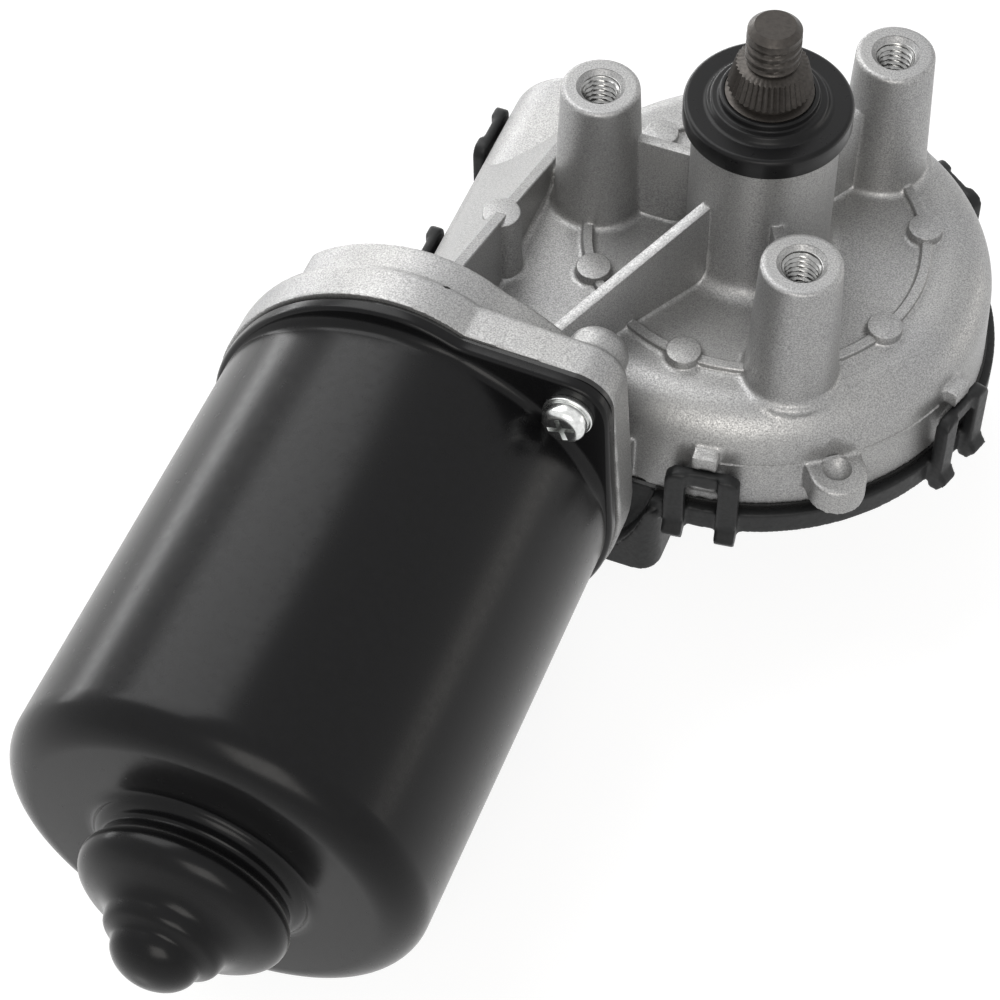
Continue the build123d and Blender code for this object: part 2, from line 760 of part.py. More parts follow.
def rear_thrust_pad():
    return motor_ring(rear_pad_y - rear_pad_thickness, rear_pad_y, 0, dome_bore_r - seat_gap)


# ---------------------------------------------------------------- armature
def worm_thread():
    """One start of trapezoidal thread, a right-hand helix about the motor axis."""
    sink = 0.4
    pitch_half = (pi * gear_module / 2 - gear_backlash) / 2
    tip_half = pitch_half - gear_module * tan(radians(flank_angle))
    root_half = pitch_half + (tooth_root_depth + sink) * tan(radians(flank_angle))
    inner_r = worm_root_r - sink
    path = Helix(pitch=worm_lead, height=worm_length, radius=worm_pitch_r)
    section = make_face(Polyline(
        (inner_r, 0, -root_half), (worm_tip_r, 0, -tip_half), (worm_tip_r, 0, tip_half),
        (inner_r, 0, root_half), close=True,
    ))
    thread = sweep(section, path=path, is_frenet=True)
    return thread


def armature_shaft():
    """The shaft with its worm: at y = 0 the thread leaves a space facing the wheel's tooth."""
    core = turned_on_motor([
        (rear_pad_y + slip_gap, 0), (rear_pad_y + slip_gap, armature_shaft_r, 0.5),
        (shaft_tail_y, armature_shaft_r, 0.5), (shaft_tail_y, 0),
    ])
    ridge_shift = (worm_length / 2) % worm_lead - worm_lead / 2
    thread = Pos(worm_x, -worm_length / 2, worm_z) * Rot(-90, 0, 0) * worm_thread()
    return core + Pos(0, ridge_shift, 0) * thread


def slot_outlines():
    """The armature core's slots, seen along the motor axis."""
    slots = Sketch()
    deep = core_r - slot_depth
    for number in range(core_slots):
        wide = 2 * (core_r - 2) * tan(radians(180 / core_slots)) * 0.5
        narrow = 2 * deep * tan(radians(180 / core_slots)) * 0.5
        mouth = Pos(core_r, 0) * Rectangle(6, slot_mouth)
        room = make_face(Polyline((deep, -narrow / 2), (core_r - 2, -wide / 2), (core_r - 2, wide / 2),
                                  (deep, narrow / 2), close=True))
        slots += Rot(0, 0, number * 360 / core_slots) * (mouth + room)
    return slots


def armature_core():
    face = Circle(core_r) - slot_outlines() - Circle(armature_shaft_r + seat_gap)
    return motor_prism(face, core_rear_y, core_front_y)


def end_insulators():
    rings = []
    for start_y in (core_rear_y - insulator_thickness, core_front_y):
        rings.append(motor_ring(start_y, start_y + insulator_thickness, armature_shaft_r + seat_gap,
                                core_r - slot_depth).solid())
    return Compound(rings)


def armature_windings():
    """The coils: a bundle filling each slot, joined by the end turns over both ends of the core."""
    deep = core_r - slot_depth
    inner = deep + winding_inset
    outer = core_r - 2 - winding_inset
    coils = None
    for number in range(core_slots):
        wide = 2 * outer * tan(radians(180 / core_slots)) * 0.5 - winding_inset
        narrow = 2 * inner * tan(radians(180 / core_slots)) * 0.5 - winding_inset
        bundle = make_face(Polyline((inner, -narrow / 2), (outer, -wide / 2), (outer, wide / 2),
                                    (inner, narrow / 2), close=True))
        bundle = Rot(0, 0, number * 360 / core_slots) * bundle
        coil = motor_prism(bundle, core_rear_y - insulator_thickness, core_front_y + insulator_thickness)
        coils = coil if coils is None else coils + coil
    for start_y, end_y in (
        (core_rear_y - insulator_thickness, core_rear_y - insulator_thickness - end_turn_height),
        (core_front_y + insulator_thickness, core_front_y + insulator_thickness + end_turn_height),
    ):
        coils += turned_on_motor([
            (start_y, core_hub_r), (start_y, outer), (end_y, outer, 2.5), (end_y, core_hub_r, 1.5),
        ])
    return coils


def commutator_hub():
    rear_y = commutator_front_y - commutator_length
    outer = commutator_r - commutator_bar_depth - seat_gap
    return motor_ring(rear_y, commutator_front_y, armature_shaft_r + seat_gap, outer)


def commutator_bars():
    rear_y = commutator_front_y - commutator_length
    bar = arc_piece(commutator_r - commutator_bar_depth, commutator_r,
                    360 / commutator_bars_count - commutator_bar_gap_deg, rear_y, commutator_front_y)
    angles = [number * 360 / commutator_bars_count for number in range(commutator_bars_count)]
    riser = arc_piece(commutator_r - 0.5, commutator_r + 1.5,
                      360 / commutator_bars_count - 2 * commutator_bar_gap_deg, rear_y, rear_y + 1.6)
    return spread_about_motor(bar + riser, angles)


# ---------------------------------------------------------------- front ball bearing
def ball_track_r():
    return (armature_shaft_r + ball_bearing_r) / 2


def ball_groove():
    """The ring of space that the balls run in, cut into both races."""
    middle_y = bell_floor_y + ball_bearing_width / 2
    section = Pos(middle_y, ball_track_r()) * Circle(bearing_ball_r + running_gap)
    return revolve(MOTOR_PLANE * section, MOTOR_AXIS)


def front_bearing_outer_race():
    race = motor_ring(bell_floor_y, bearing_front_y, ball_bearing_r - bearing_race_wall, ball_bearing_r)
    return race - ball_groove()


def front_bearing_inner_race():
    race = motor_ring(bell_floor_y, bearing_front_y, armature_shaft_r + seat_gap,
                      armature_shaft_r + bearing_race_wall)
    return race - ball_groove()


def front_bearing_balls():
    middle_y = bell_floor_y + ball_bearing_width / 2
    balls = []
    for number in range(ball_bearing_balls):
        across, up = on_circle(ball_track_r(), number * 360 / ball_bearing_balls)
        balls.append((Pos(worm_x + across, middle_y, worm_z + up) * Sphere(bearing_ball_r)).solid())
    return Compound(balls)


def front_bearing_cage():
    """A ring between the races, with a pocket for each ball."""
    middle_y = bell_floor_y + ball_bearing_width / 2
    half_width = bearing_ball_r + cage_margin
    ring = motor_ring(middle_y - half_width, middle_y + half_width, ball_track_r() - cage_thickness / 2,
                      ball_track_r() + cage_thickness / 2)
    for number in range(ball_bearing_balls):
        pocket = Pos(ball_track_r(), middle_y, 0) * Rot(0, 90, 0) * Cylinder(bearing_ball_r + seat_gap, 4)
        ring -= about_motor(number * 360 / ball_bearing_balls) * pocket
    return ring


def bearing_washer():
    """The plate that keeps the bearing in its seat."""
    return motor_ring(bell_floor_y - bearing_washer_thickness, bell_floor_y,
                      ball_bearing_r - bearing_race_wall + 0.4, bearing_washer_r)


def shaft_collar():
    """A spacer on the shaft, between the commutator and the bearing."""
    return motor_ring(commutator_front_y, bell_floor_y, armature_shaft_r + seat_gap, collar_r)


# ---------------------------------------------------------------- worm end
def worm_end_bush():
    return motor_ring(end_bush_y, end_bush_y + end_bush_length, armature_shaft_r + running_gap,
                      end_bush_outer_r())


def tail_thrust_pad():
    start_y = shaft_tail_y + slip_gap
    return motor_ring(start_y, start_y + thrust_pad_length, 0, armature_shaft_r)


def thrust_screw():
    start_y = shaft_tail_y + slip_gap + thrust_pad_length
    end_y = tunnel_end_y - thrust_screw_inset
    screw = motor_ring(start_y, end_y, 0, thrust_screw_r)
    slot = box_between((worm_x - thrust_screw_r, end_y - thrust_slot_depth, worm_z - thrust_slot_width / 2),
                       (worm_x + thrust_screw_r, end_y + 1, worm_z + thrust_slot_width / 2))
    return screw - slot


# ---------------------------------------------------------------- brush gear
def brush_plate():
    return motor_ring(brush_plate_y - brush_plate_thickness, brush_plate_y, brush_plate_bore_r,
                      bell_bore_r - clear_gap)


def plate_front_y():
    return brush_plate_y - brush_plate_thickness


def brush_middle_y():
    return plate_front_y() - holder_wall - brush_height / 2


def radial_block(inner_r, outer_r, width, height):
    """A block lying along a radius on the motor axis's +X side, at the brushes' level."""
    return Pos((inner_r + outer_r) / 2, brush_middle_y(), 0) * Box(outer_r - inner_r, height, width)


def spread(shape, angles):
    return Compound([(about_motor(angle) * shape).solid() for angle in angles])


def brush_holders():
    bore_width = brush_width + slip_gap
    outer = radial_block(holder_inner_r, holder_outer_r, bore_width + 2 * holder_wall,
                         brush_height + 2 * holder_wall)
    inner = radial_block(holder_inner_r - 1, holder_outer_r - holder_wall, bore_width, brush_height)
    return spread(outer - inner, brush_angles)


def brush_inner_r():
    return commutator_r + slip_gap


def brushes():
    brush = radial_block(brush_inner_r(), brush_inner_r() + brush_length, brush_width,
                         brush_height - slip_gap)
    return spread(brush, brush_angles)


def coil_spring(length, coil_r, wire_r, turns):
    """A round-wire helix along +Z from the origin."""
    path = Helix(pitch=(length - 2 * wire_r) / turns, height=length - 2 * wire_r, radius=coil_r)
    section = Plane(origin=path @ 0, z_dir=path % 0) * Circle(wire_r)
    return Pos(0, 0, wire_r) * sweep(section, path=path, is_frenet=True)


def brush_springs():
    start_r = brush_inner_r() + brush_length
    length = holder_outer_r - holder_wall - start_r
    spring = coil_spring(length, brush_spring_r, brush_spring_wire_r, brush_spring_turns)
    spring = Pos(start_r, brush_middle_y(), 0) * Rot(0, 90, 0) * spring
    return spread(spring, brush_angles)


def choke_place(length):
    """Moves a shape along +Z from the origin to a choke's seat, lying square to a radius."""
    height = choke_core_r + 2 * choke_wire_r
    return Pos(choke_radius, plate_front_y() - height, -length / 2)


def choke_cores():
    core = Pos(0, 0, choke_core_length / 2) * Cylinder(choke_core_r, choke_core_length)
    return spread(choke_place(choke_core_length) * core, choke_angles)


def choke_coils():
    length = choke_core_length - 2
    coil = coil_spring(length, choke_core_r + choke_wire_r + seat_gap, choke_wire_r, choke_turns)
    return spread(choke_place(length) * coil, choke_angles)


def circuit_breaker():
    wide, deep, high = breaker_size
    block = Pos(breaker_radius, plate_front_y() - high / 2, 0) * Box(deep, high, wide)
    return about_motor(breaker_angle) * block


# ---------------------------------------------------------------- can screws
def screw_parts():
    """One can screw and its washer, on the motor axis."""
    washer_y = screw_seat_y - screw_washer_thickness
    head_y = washer_y - screw_head_height
    end_y = washer_y + screw_length
    screw = turned_on_motor([
        (head_y, 0), (head_y, screw_head_r, screw_head_round), (washer_y, screw_head_r),
        (washer_y, screw_core_r - seat_gap), (end_y, screw_core_r - seat_gap, 0.4), (end_y, 0),
    ])
    slot_length = screw_head_r * screw_slot_share
    for wide, deep in ((slot_length, screw_slot_width), (screw_slot_width, slot_length)):
        screw -= Pos(worm_x, head_y, worm_z) * Box(wide, 2 * screw_slot_depth, deep)
    washer = motor_ring(washer_y, screw_seat_y, screw_r + slip_gap, screw_washer_r)
    return screw, washer


def can_screws():
    return Compound([(Pos(across, 0, up) * screw_parts()[0]).solid() for across, up in screw_places()])


def can_screw_washers():
    return Compound([(Pos(across, 0, up) * screw_parts()[1]).solid() for across, up in screw_places()])


# ---------------------------------------------------------------- output side
def upper_bush_top_z():
    return neck_top_z - 2 * seal_cord_r - clear_gap


def output_bush_upper():
    top_z = upper_bush_top_z()
    return output_ring(top_z - upper_bush_length, top_z, shaft_r + running_gap, bush_outer_r)


def output_bush_lower():
    low_z = ceiling_z - thrust_boss_depth
    return output_ring(low_z, low_z + lower_bush_length, shaft_r + running_gap, bush_outer_r)


def shaft_seal_ring():
    middle_r = (shaft_r + bush_outer_r) / 2
    middle_z = upper_bush_top_z() + seal_cord_r + clear_gap / 2
    section = Pos(middle_r, middle_z) * Circle((bush_outer_r - shaft_r) / 2 - running_gap)
    return revolve(Plane.XZ * section, Axis.Z)


def shaft_washer():
    return output_ring(neck_top_z, neck_top_z + shaft_washer_thickness, shaft_r + running_gap,
                       shaft_washer_r)


def circlip_z():
    return neck_top_z + shaft_washer_thickness + slip_gap


def shaft_circlip():
    ring = output_ring(circlip_z(), circlip_z() + circlip_thickness,
                       shaft_r - circlip_groove_depth + seat_gap, circlip_r)
    half = radians(circlip_gap_deg / 2)
    far = 2 * circlip_r
    gap = make_face(Polyline((0, 0), (far * cos(half), far * sin(half)),
                             (far * cos(half), -far * sin(half)), close=True))
    return ring - extrude(Pos(0, 0, circlip_z() - 1) * gap, circlip_thickness + 2)


def cap_top_z():
    return neck_top_z + cap_thickness


def shaft_cap():
    """The dust cap pushed over the neck, with two raised lips round the shaft."""
    top = cap_top_z()
    bore = shaft_r + slip_gap
    room_top = neck_top_z + cap_room_height
    dish = top - cap_dish
    rim_inner_r = cap_r - cap_rim_width
    return turned_on_output([
        (neck_r + seat_gap, neck_top_z - cap_skirt_below), (cap_r, neck_top_z - cap_skirt_below),
        (cap_r, top, cap_rim_round), (rim_inner_r, top), (rim_inner_r - cap_dish, dish),
        (cap_lip_r + cap_lip_foot, dish, cap_lip_foot), (cap_lip_r, top + cap_lip_height, cap_lip_round),
        (cap_inner_lip_r, top + cap_lip_height), (cap_inner_lip_r, top + cap_inner_lip_height, cap_lip_round),
        (bore, top + cap_inner_lip_height), (bore, room_top), (cap_room_r, room_top),
        (cap_room_r, neck_top_z), (neck_r + seat_gap, neck_top_z),
    ])


def star_outline(crest_r, height):
    """The serrations' outline at one height: sharp crests with a root between each two."""
    points = []
    step = 360 / serration_count
    for number in range(serration_count):
        crest = on_circle(crest_r, number * step)
        root = on_circle(crest_r - serration_depth, (number + 0.5) * step)
        points += [(crest[0], crest[1], height), (root[0], root[1], height)]
    return make_face(Polyline(*points, close=True))


def serrated_taper():
    """The toothed taper that grips the crank arm: a star-shaped prism narrowing upwards."""
    low_z = face_z + serration_start_above
    return loft([star_outline(serration_base_r, low_z),
                 star_outline(serration_top_r, low_z + serration_height)], ruled=True)


def output_shaft():
    low_z = face_z - shaft_below
    relief_z = cap_top_z() + cap_inner_lip_height
    taper_z = face_z + serration_start_above
    taper_top_z = taper_z + serration_height
    stud_top_z = face_z + stud_top_above
    waist_r = serration_base_r - serration_relief
    core_r_in_taper = serration_top_r - serration_depth - 0.2
    shaft = turned_on_output([
        (0, low_z), (shaft_r, low_z, 0.6), (shaft_r, relief_z), (waist_r, relief_z + 0.3),
        (waist_r, taper_z + 0.4), (core_r_in_taper, taper_z + 0.4), (core_r_in_taper, taper_top_z),
        (stud_r, taper_top_z + 0.5),
        (stud_r, stud_top_z - stud_tip_chamfer), (stud_tip_r, stud_top_z), (0, stud_top_z),
    ])
    groove = output_ring(circlip_z() - seat_gap, circlip_z() + circlip_thickness + seat_gap,
                         shaft_r - circlip_groove_depth, shaft_r + 1)
    return shaft - groove + serrated_taper()


def wheel_tooth():
    """One tooth on the -X side, leaning by the worm's lead angle."""
    pitch_half = (pi * gear_module / 2 - gear_backlash) / 2
    tip_half = pitch_half - gear_module * tan(radians(flank_angle))
    root_half = pitch_half + tooth_root_depth * tan(radians(flank_angle))
    root = wheel_root_r - 0.3
    lean = wheel_width / 2 * tan(radians(lead_angle))
    ends = []
    for height, shift in ((wheel_bottom_z, lean), (wheel_top_z, -lean)):
        ends.append(make_face(Polyline(
            (-root, shift - root_half, height), (-wheel_tip_r, shift - tip_half, height),
            (-wheel_tip_r, shift + tip_half, height), (-root, shift + root_half, height), close=True,
        )))
    return loft(ends, ruled=True)


def worm_wheel():
    """The moulded wheel: a thick toothed rim on a thinner web."""
    web_top = wheel_top_z - wheel_rim_depth
    rim_r = wheel_root_r - wheel_rim_wall
    body = turned_on_output([
        (hub_r + seat_gap, web_bottom_z()), (rim_r, web_bottom_z()), (rim_r, wheel_bottom_z),
        (wheel_root_r, wheel_bottom_z), (wheel_root_r, wheel_top_z), (rim_r, wheel_top_z),
        (rim_r, web_top), (hub_r + seat_gap, web_top),
    ])
    tooth = wheel_tooth()
    teeth = [Rot(0, 0, number * 360 / wheel_teeth) * tooth for number in range(wheel_teeth)]
    return body.fuse(*[piece.solid() for piece in teeth])


def web_bottom_z():
    return wheel_top_z - wheel_rim_depth - wheel_web_thickness


def wheel_hub():
    """The steel hub pressed on the shaft, with a flange under the wheel's web."""
    low = web_bottom_z() - hub_flange_thickness
    high = ceiling_z - thrust_boss_depth - slip_gap - wave_washer_thickness
    return turned_on_output([
        (shaft_r + seat_gap, low), (hub_flange_r, low), (hub_flange_r, web_bottom_z()),
        (hub_r, web_bottom_z()), (hub_r, wheel_top_z - wheel_rim_depth), (hub_r - 2, high),
        (shaft_r + seat_gap, high),
    ])


def wave_washer():
    low = ceiling_z - thrust_boss_depth - slip_gap - wave_washer_thickness
    return output_ring(low, low + wave_washer_thickness, shaft_r + running_gap, wave_washer_r)


def park_plate_bottom_z():
    return web_bottom_z() - park_plate_thickness


def park_contact_plate():
    """The copper disc that parks the blades: an outer track broken by one notch."""
    plate_r = wheel_root_r - wheel_rim_wall - clear_gap
    plate = output_ring(park_plate_bottom_z(), web_bottom_z(), park_plate_inner_r, plate_r)
    half = radians(park_notch_deg / 2)
    far = 2 * wheel_root_r
    wedge = make_face(Polyline((0, 0), (far * cos(half), far * sin(half)),
                               (far * cos(half), -far * sin(half)), close=True)) - Circle(park_track_r)
    return plate - extrude(Pos(0, 0, park_plate_bottom_z() - 1) * wedge, park_plate_thickness + 2)


# ---------------------------------------------------------------- cover
def cover_clip():
    """One snap clip at the origin: two thick legs with swollen feet, and a thinner bar across their tops."""
    top = face_z - clip_top_below
    foot = face_z - clip_foot_below
    leg = outline([
        (clip_gap, top), (clip_leg_reach, top, clip_top_round),
        (clip_leg_reach, foot + clip_foot_start, clip_top_round),
        (clip_foot_reach, foot + clip_foot_swell, clip_top_round), (clip_foot_tip_reach, foot),
        (clip_foot_inner, foot), (clip_gap, cover_bottom_z), (cover_overhang - clip_root, cover_bottom_z),
        (cover_overhang - clip_root, cover_joint_z), (clip_gap, cover_joint_z),
    ])
    window_half = clip_width / 2 - clip_leg_width
    bar = box_between((clip_gap, -window_half, top - clip_bar_height), (clip_bar_reach, window_half, top))
    right = extrude(Plane.XZ * leg, clip_leg_width / 2, both=True)
    side = window_half + clip_leg_width / 2
    return bar + Pos(0, side, 0) * right + Pos(0, -side, 0) * right


def connector_block():
    """The socket's walls, with a step towards the can that is scooped out round the bell."""
    half_w = socket_width / 2 + connector_wall
    half_b = socket_breadth / 2 + connector_wall
    front_y = connector_y - half_b - connector_toe
    flat = outline([
        (connector_x - half_w, front_y, connector_front_round),
        (connector_x + half_w, front_y, connector_front_round),
        (connector_x + half_w, connector_y + half_b, connector_round),
        (connector_x - half_w, connector_y + half_b, connector_round),
    ])
    return extrude(Pos(0, 0, connector_low_z()) * flat, cover_floor_z - connector_low_z())


def connector_low_z():
    return cover_bottom_z - connector_drop


def connector_socket():
    half_w = socket_width / 2
    half_b = socket_breadth / 2
    return box_between((connector_x - half_w, connector_y - half_b, connector_low_z() - 1),
                       (connector_x + half_w, connector_y + half_b, cover_bottom_z - connector_web))


def terminal_xs():
    first = connector_x - terminal_pitch * (terminal_count - 1) / 2
    return [first + number * terminal_pitch for number in range(terminal_count)]


def terminal(x):
    """A blade standing in the socket, moulded into the cover's floor."""
    half_w = terminal_width / 2
    half_t = terminal_thickness / 2
    tip_z = cover_bottom_z - connector_web - terminal_reach
    return box_between((x - half_w, connector_y - half_t, tip_z),
                       (x + half_w, connector_y + half_t, cover_floor_z + terminal_tail_height))


def connector_terminals():
    return Compound([terminal(x).solid() for x in terminal_xs()])


def case_clearance():
    """The room that the cover and its seal leave for the bell and the bearing's hub."""
    room = motor_ring(flange_y - 1, bell_rear_y + clear_gap, 0, flange_r + flange_room)
    return room + motor_ring(bell_rear_y, hub_front_y + clear_gap, 0, bearing_hub_r + clear_gap)


def low_tunnel_room(grow, start_y, end_y):
    """A half-round trough round the part of the tunnel that hangs below the joint."""
    trough = motor_ring(start_y, end_y, 0, low_tunnel_r + grow)
    return trough & box_between((worm_x - tunnel_r, start_y, rim_z - tunnel_r),
                                (worm_x + tunnel_r, end_y, cover_joint_z))


def gear_cover():
    start_y = hub_front_y + clear_gap
    tray_height = cover_joint_z - cover_bottom_z
    outer = extrude(Pos(0, 0, cover_bottom_z) * joint_outline(cover_overhang), tray_height)
    outer += low_tunnel_room(clear_gap + cover_floor, start_y,
                             low_tunnel_end_y + clear_gap + cover_floor)
    outer += connector_block()
    for frame in clip_frames():
        outer += frame * cover_clip()
    inner = extrude(Pos(0, 0, cover_floor_z) * joint_outline(-cover_wall), tray_height)
    inner += low_tunnel_room(clear_gap, start_y - 1, low_tunnel_end_y + clear_gap)
    cover = outer - inner - case_clearance() - connector_socket()
    for x in terminal_xs():
        cover -= terminal(x)
    return cover


def cover_seal():
    band = joint_outline(cover_seal_overhang) - joint_outline(-cover_wall)
    seal = extrude(Pos(0, 0, cover_joint_z) * band, cover_seal_thickness)
    return seal - case_clearance() - motor_ring(hub_front_y, low_tunnel_end_y + clear_gap, 0,
                                                low_tunnel_r + clear_gap)


def park_contact_springs():
    """Three leaf springs on the cover's floor, each bent up to rub its own track."""
    tip_z = park_plate_bottom_z() - slip_gap
    thick = park_spring_thickness
    strip = make_face(Polyline(
        (0, cover_floor_z), (0, cover_floor_z + thick), (3.0, cover_floor_z + thick),
        (park_spring_length - 1.5, tip_z), (park_spring_length, tip_z - 0.6),
        (park_spring_length, tip_z - 0.6 - thick), (park_spring_length - 1.5, tip_z - thick),
        (3.3, cover_floor_z), close=True,
    ))
    springs = []
    for number in range(park_spring_count):
        out = park_track_r + (number - (park_spring_count - 1) / 2) * park_spring_spread
        leaf = extrude(Plane.XZ * strip, park_spring_width / 2, both=True)
        leaf = Pos(-park_spring_length / 2, -out, 0) * leaf
        springs.append((Rot(0, 0, park_spring_angle + 90) * leaf).solid())
    return Compound(springs)


BUILDERS = (
    gear_housing, motor_can, can_seal, can_screws, can_screw_washers, magnets, magnet_clips,
    rear_bush, rear_bush_retainer, rear_thrust_pad,
    armature_shaft, armature_core, end_insulators, armature_windings, commutator_hub, commutator_bars,
    front_bearing_outer_race, front_bearing_inner_race, front_bearing_balls, front_bearing_cage,
    bearing_washer, shaft_collar, worm_end_bush, tail_thrust_pad, thrust_screw,
    brush_plate, brush_holders, brushes, brush_springs, choke_cores, choke_coils, circuit_breaker,
    output_shaft, worm_wheel, wheel_hub, wave_washer, park_contact_plate,
    output_bush_upper, output_bush_lower, shaft_seal_ring, shaft_washer, shaft_circlip, shaft_cap,
    gear_cover, cover_seal, connector_terminals, park_contact_springs,
)

os.makedirs("parts", exist_ok=True)
for build in BUILDERS:
    save(build.__name__, build())
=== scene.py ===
import json
import math

import bmesh
import bpy
import numpy as np
from mathutils import Matrix, Vector


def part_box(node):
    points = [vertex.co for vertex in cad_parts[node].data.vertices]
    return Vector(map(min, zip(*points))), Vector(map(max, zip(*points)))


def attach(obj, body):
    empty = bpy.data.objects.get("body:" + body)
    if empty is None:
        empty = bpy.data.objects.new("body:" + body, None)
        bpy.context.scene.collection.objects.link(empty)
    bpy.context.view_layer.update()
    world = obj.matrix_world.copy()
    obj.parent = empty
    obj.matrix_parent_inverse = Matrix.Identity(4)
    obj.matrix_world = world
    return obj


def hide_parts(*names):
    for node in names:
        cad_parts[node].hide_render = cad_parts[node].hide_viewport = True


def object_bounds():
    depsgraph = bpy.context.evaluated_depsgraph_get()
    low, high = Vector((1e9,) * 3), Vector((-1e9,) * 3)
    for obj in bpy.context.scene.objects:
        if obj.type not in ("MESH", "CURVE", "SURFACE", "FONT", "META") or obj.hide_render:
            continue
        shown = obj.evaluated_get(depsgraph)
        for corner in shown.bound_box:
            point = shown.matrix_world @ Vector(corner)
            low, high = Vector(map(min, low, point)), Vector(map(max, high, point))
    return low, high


# Dresses the wiper motor: the die casting, the painted can, the shaft, the clipped cover and their finishes.
# Shapes are worked out in millimetres in the row frame and put into metres when a mesh is made.
# Heights named *_ABOVE and *_BELOW are measured from the gearbox face.

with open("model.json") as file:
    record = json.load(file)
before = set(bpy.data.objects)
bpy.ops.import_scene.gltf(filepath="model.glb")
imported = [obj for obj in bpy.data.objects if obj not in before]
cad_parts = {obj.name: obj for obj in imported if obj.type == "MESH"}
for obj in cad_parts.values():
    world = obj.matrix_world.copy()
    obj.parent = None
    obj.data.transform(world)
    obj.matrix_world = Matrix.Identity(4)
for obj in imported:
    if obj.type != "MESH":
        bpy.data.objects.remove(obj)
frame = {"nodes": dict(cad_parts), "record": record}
cad_low, cad_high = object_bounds()

MM = 0.001
# In metres: how close the points of a grid or of a copied solid are merged, and which edges are dissolved.
GRID_MERGE = 1e-7
SOLID_MERGE = 1e-6
SHORTEST_EDGE = 1e-8
CASING = "casing"
OUTPUT = "output"


def node_box(node):
    """The lowest and highest corner of a node, in millimetres."""
    low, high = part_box(node)
    return np.array(low) / MM, np.array(high) / MM


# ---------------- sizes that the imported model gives
CORE_LOW, CORE_HIGH = node_box("armature_core")
WORM_X, _, WORM_Z = (CORE_LOW + CORE_HIGH) / 2
SHAFT_LOW_Z = node_box("output_shaft")[0][2]
RIM_Z = node_box("cover_seal")[1][2]

# ---------------- casting
# Shells that are fused, and cutters, reach OVERLAP past the faces where they meet.
OVERLAP = 1.0
CASTING_VOXEL = 0.36
CASTING_TRIANGLES = 185000
SKIN_PASSES = 3
FACE_Z = -24.0
ROOT_Z = FACE_Z - OVERLAP
BOSS_CIRCLE_R = 26.0
BOSS_ANGLES = (180.0, 60.0, -60.0)
BOSS_TOP_R = 6.0
BOSS_BASE_R = 7.0
BOSS_FOOT_ROUND = 1.1
BOSS_EDGE_ROUND = 0.5
THREAD_MINOR_R = 2.5
THREAD_MAJOR_R = 3.0
THREAD_ROOT_R = THREAD_MAJOR_R - 0.02
THREAD_PITCH = 1.0
THREAD_ROWS = 10
THREAD_TOP_Z = -0.72
THREAD_LEAD_IN = 0.5
HOLE_DEPTH = 18.0
HOLE_MOUTH_R = 3.7
HOLE_TIP = 1.5
COUNTERSINK_DEPTH = 0.75
COUNTERSINK_RIM = 0.1
SLEEVE_R = THREAD_MAJOR_R + 0.04
SLEEVE_TOP_Z = -0.7
SLEEVE_LOW_Z = -HOLE_DEPTH + 0.2
BOWL_R = 37.3
BOWL_TOP_R = 36.6
BOWL_ROUND = 7.0
CAVITY_R = 34.2
CAVITY_ROUND = 3.0
CEILING_Z = FACE_Z - 2.8
NECK_R = 11.0
NECK_BORE_R = 8.6
NECK_TOP_Z = FACE_Z + 27.8
NECK_FOOT_ROUND = 3.0
TUNNEL_R = 12.3
TUNNEL_END_Y = 24.0
TUNNEL_ROUND = 2.2
TUNNEL_SIDE_X = WORM_X - TUNNEL_R
TUNNEL_SIDE_ROUND = 2.5
WORM_BORE_R = 7.2
WORM_BORE_END_Y = 10.0
WORM_BORE_LEAD = 6.0
TAIL_BORE_R = 4.05
SHELF_HIGH = (-16.0, 16.0)
BELL_REAR_Y = -37.5
BEHIND_BELL_Y = -38.5
FLANGE_Y = -49.0
FLANGE_R = 32.8
FLANGE_CROWN_RISE = 2.4
FLANGE_THICKNESS = 6.2
FLANGE_BEVEL = 0.6
BELL_BORE_R = 29.0
BELL_FLOOR_Y = -41.0
SHOULDER_R = 30.3
SHOULDER_Y = -39.2
SHOULDER_ROUND = 2.0
SADDLE_R = 31.8
SADDLE_CROWN_RISE = 2.3
SADDLE_LEFT = 20.5
SADDLE_RIGHT = 23.0
SADDLE_SOFTENING = 5
SCREW_BOSS_R = 4.6
SCREW_BOSS_ROUND = 2.6
UNDER_ROOM = 4.0
HUB_FRONT_Y = -31.5
HUB_R = 12.9
LOW_TUNNEL_R = 9.2
LOW_TUNNEL_END_Y = 20.4
WEB_LOW = (-14.8, -43.0)
WEB_HIGH = (-6.5, -34.0)
PARTING_Z = FACE_Z - 8.8
CREST_INNER_X = -33.6
CREST_WIDTH = 1.8
CREST_ABOVE = 19.0
CREST_SLOPE = 0.373
CREST_FOOT_INSET = 0.3
CREST_FOOT_RISE = 2.5
KNOB_R = 2.9
KNOB_PLACE = (-34.6, -18.8)
KNOB_ABOVE = 12.1
KNOB_FLARE = 0.4
KNOB_EDGE = 0.2
RIB_WIDTH = 1.8
RIB_DRAFT = 0.25
RIB_ABOVE = 15.5
BRACE_ANGLE = -120.0
BRACE_ABOVE_NECK = 17.0
BRACE_ABOVE_BELL = 7.4
PAD_ANGLES = (24.0, -24.0, 96.0, -96.0, 144.0, -144.0)
PAD_R = 2.65
FLUSH_PAD_ANGLE = 144.0
FLUSH_PAD_ABOVE = 1.25
PAD_ABOVE = 1.8
PAD_DRAFT = 0.15
PAD_EDGE = 0.18
EDGE_BREAK = 0.16
EDGE_BREAK_MIDDLE = 0.3
UNDER_SKIN = 0.14
RING_RIB_WIDTH = 1.6
RING_RIB_ABOVE = 1.1
RING_RIB_DRAFT = 0.15
PIT_PLACE = (-33.2, -42.9, -3.0)
PIT_R = 0.55
PIT_DEPTH = 1.2
PIT_CUT_RISE = 4.0
SPOT_EAR_ANGLE = -52.5
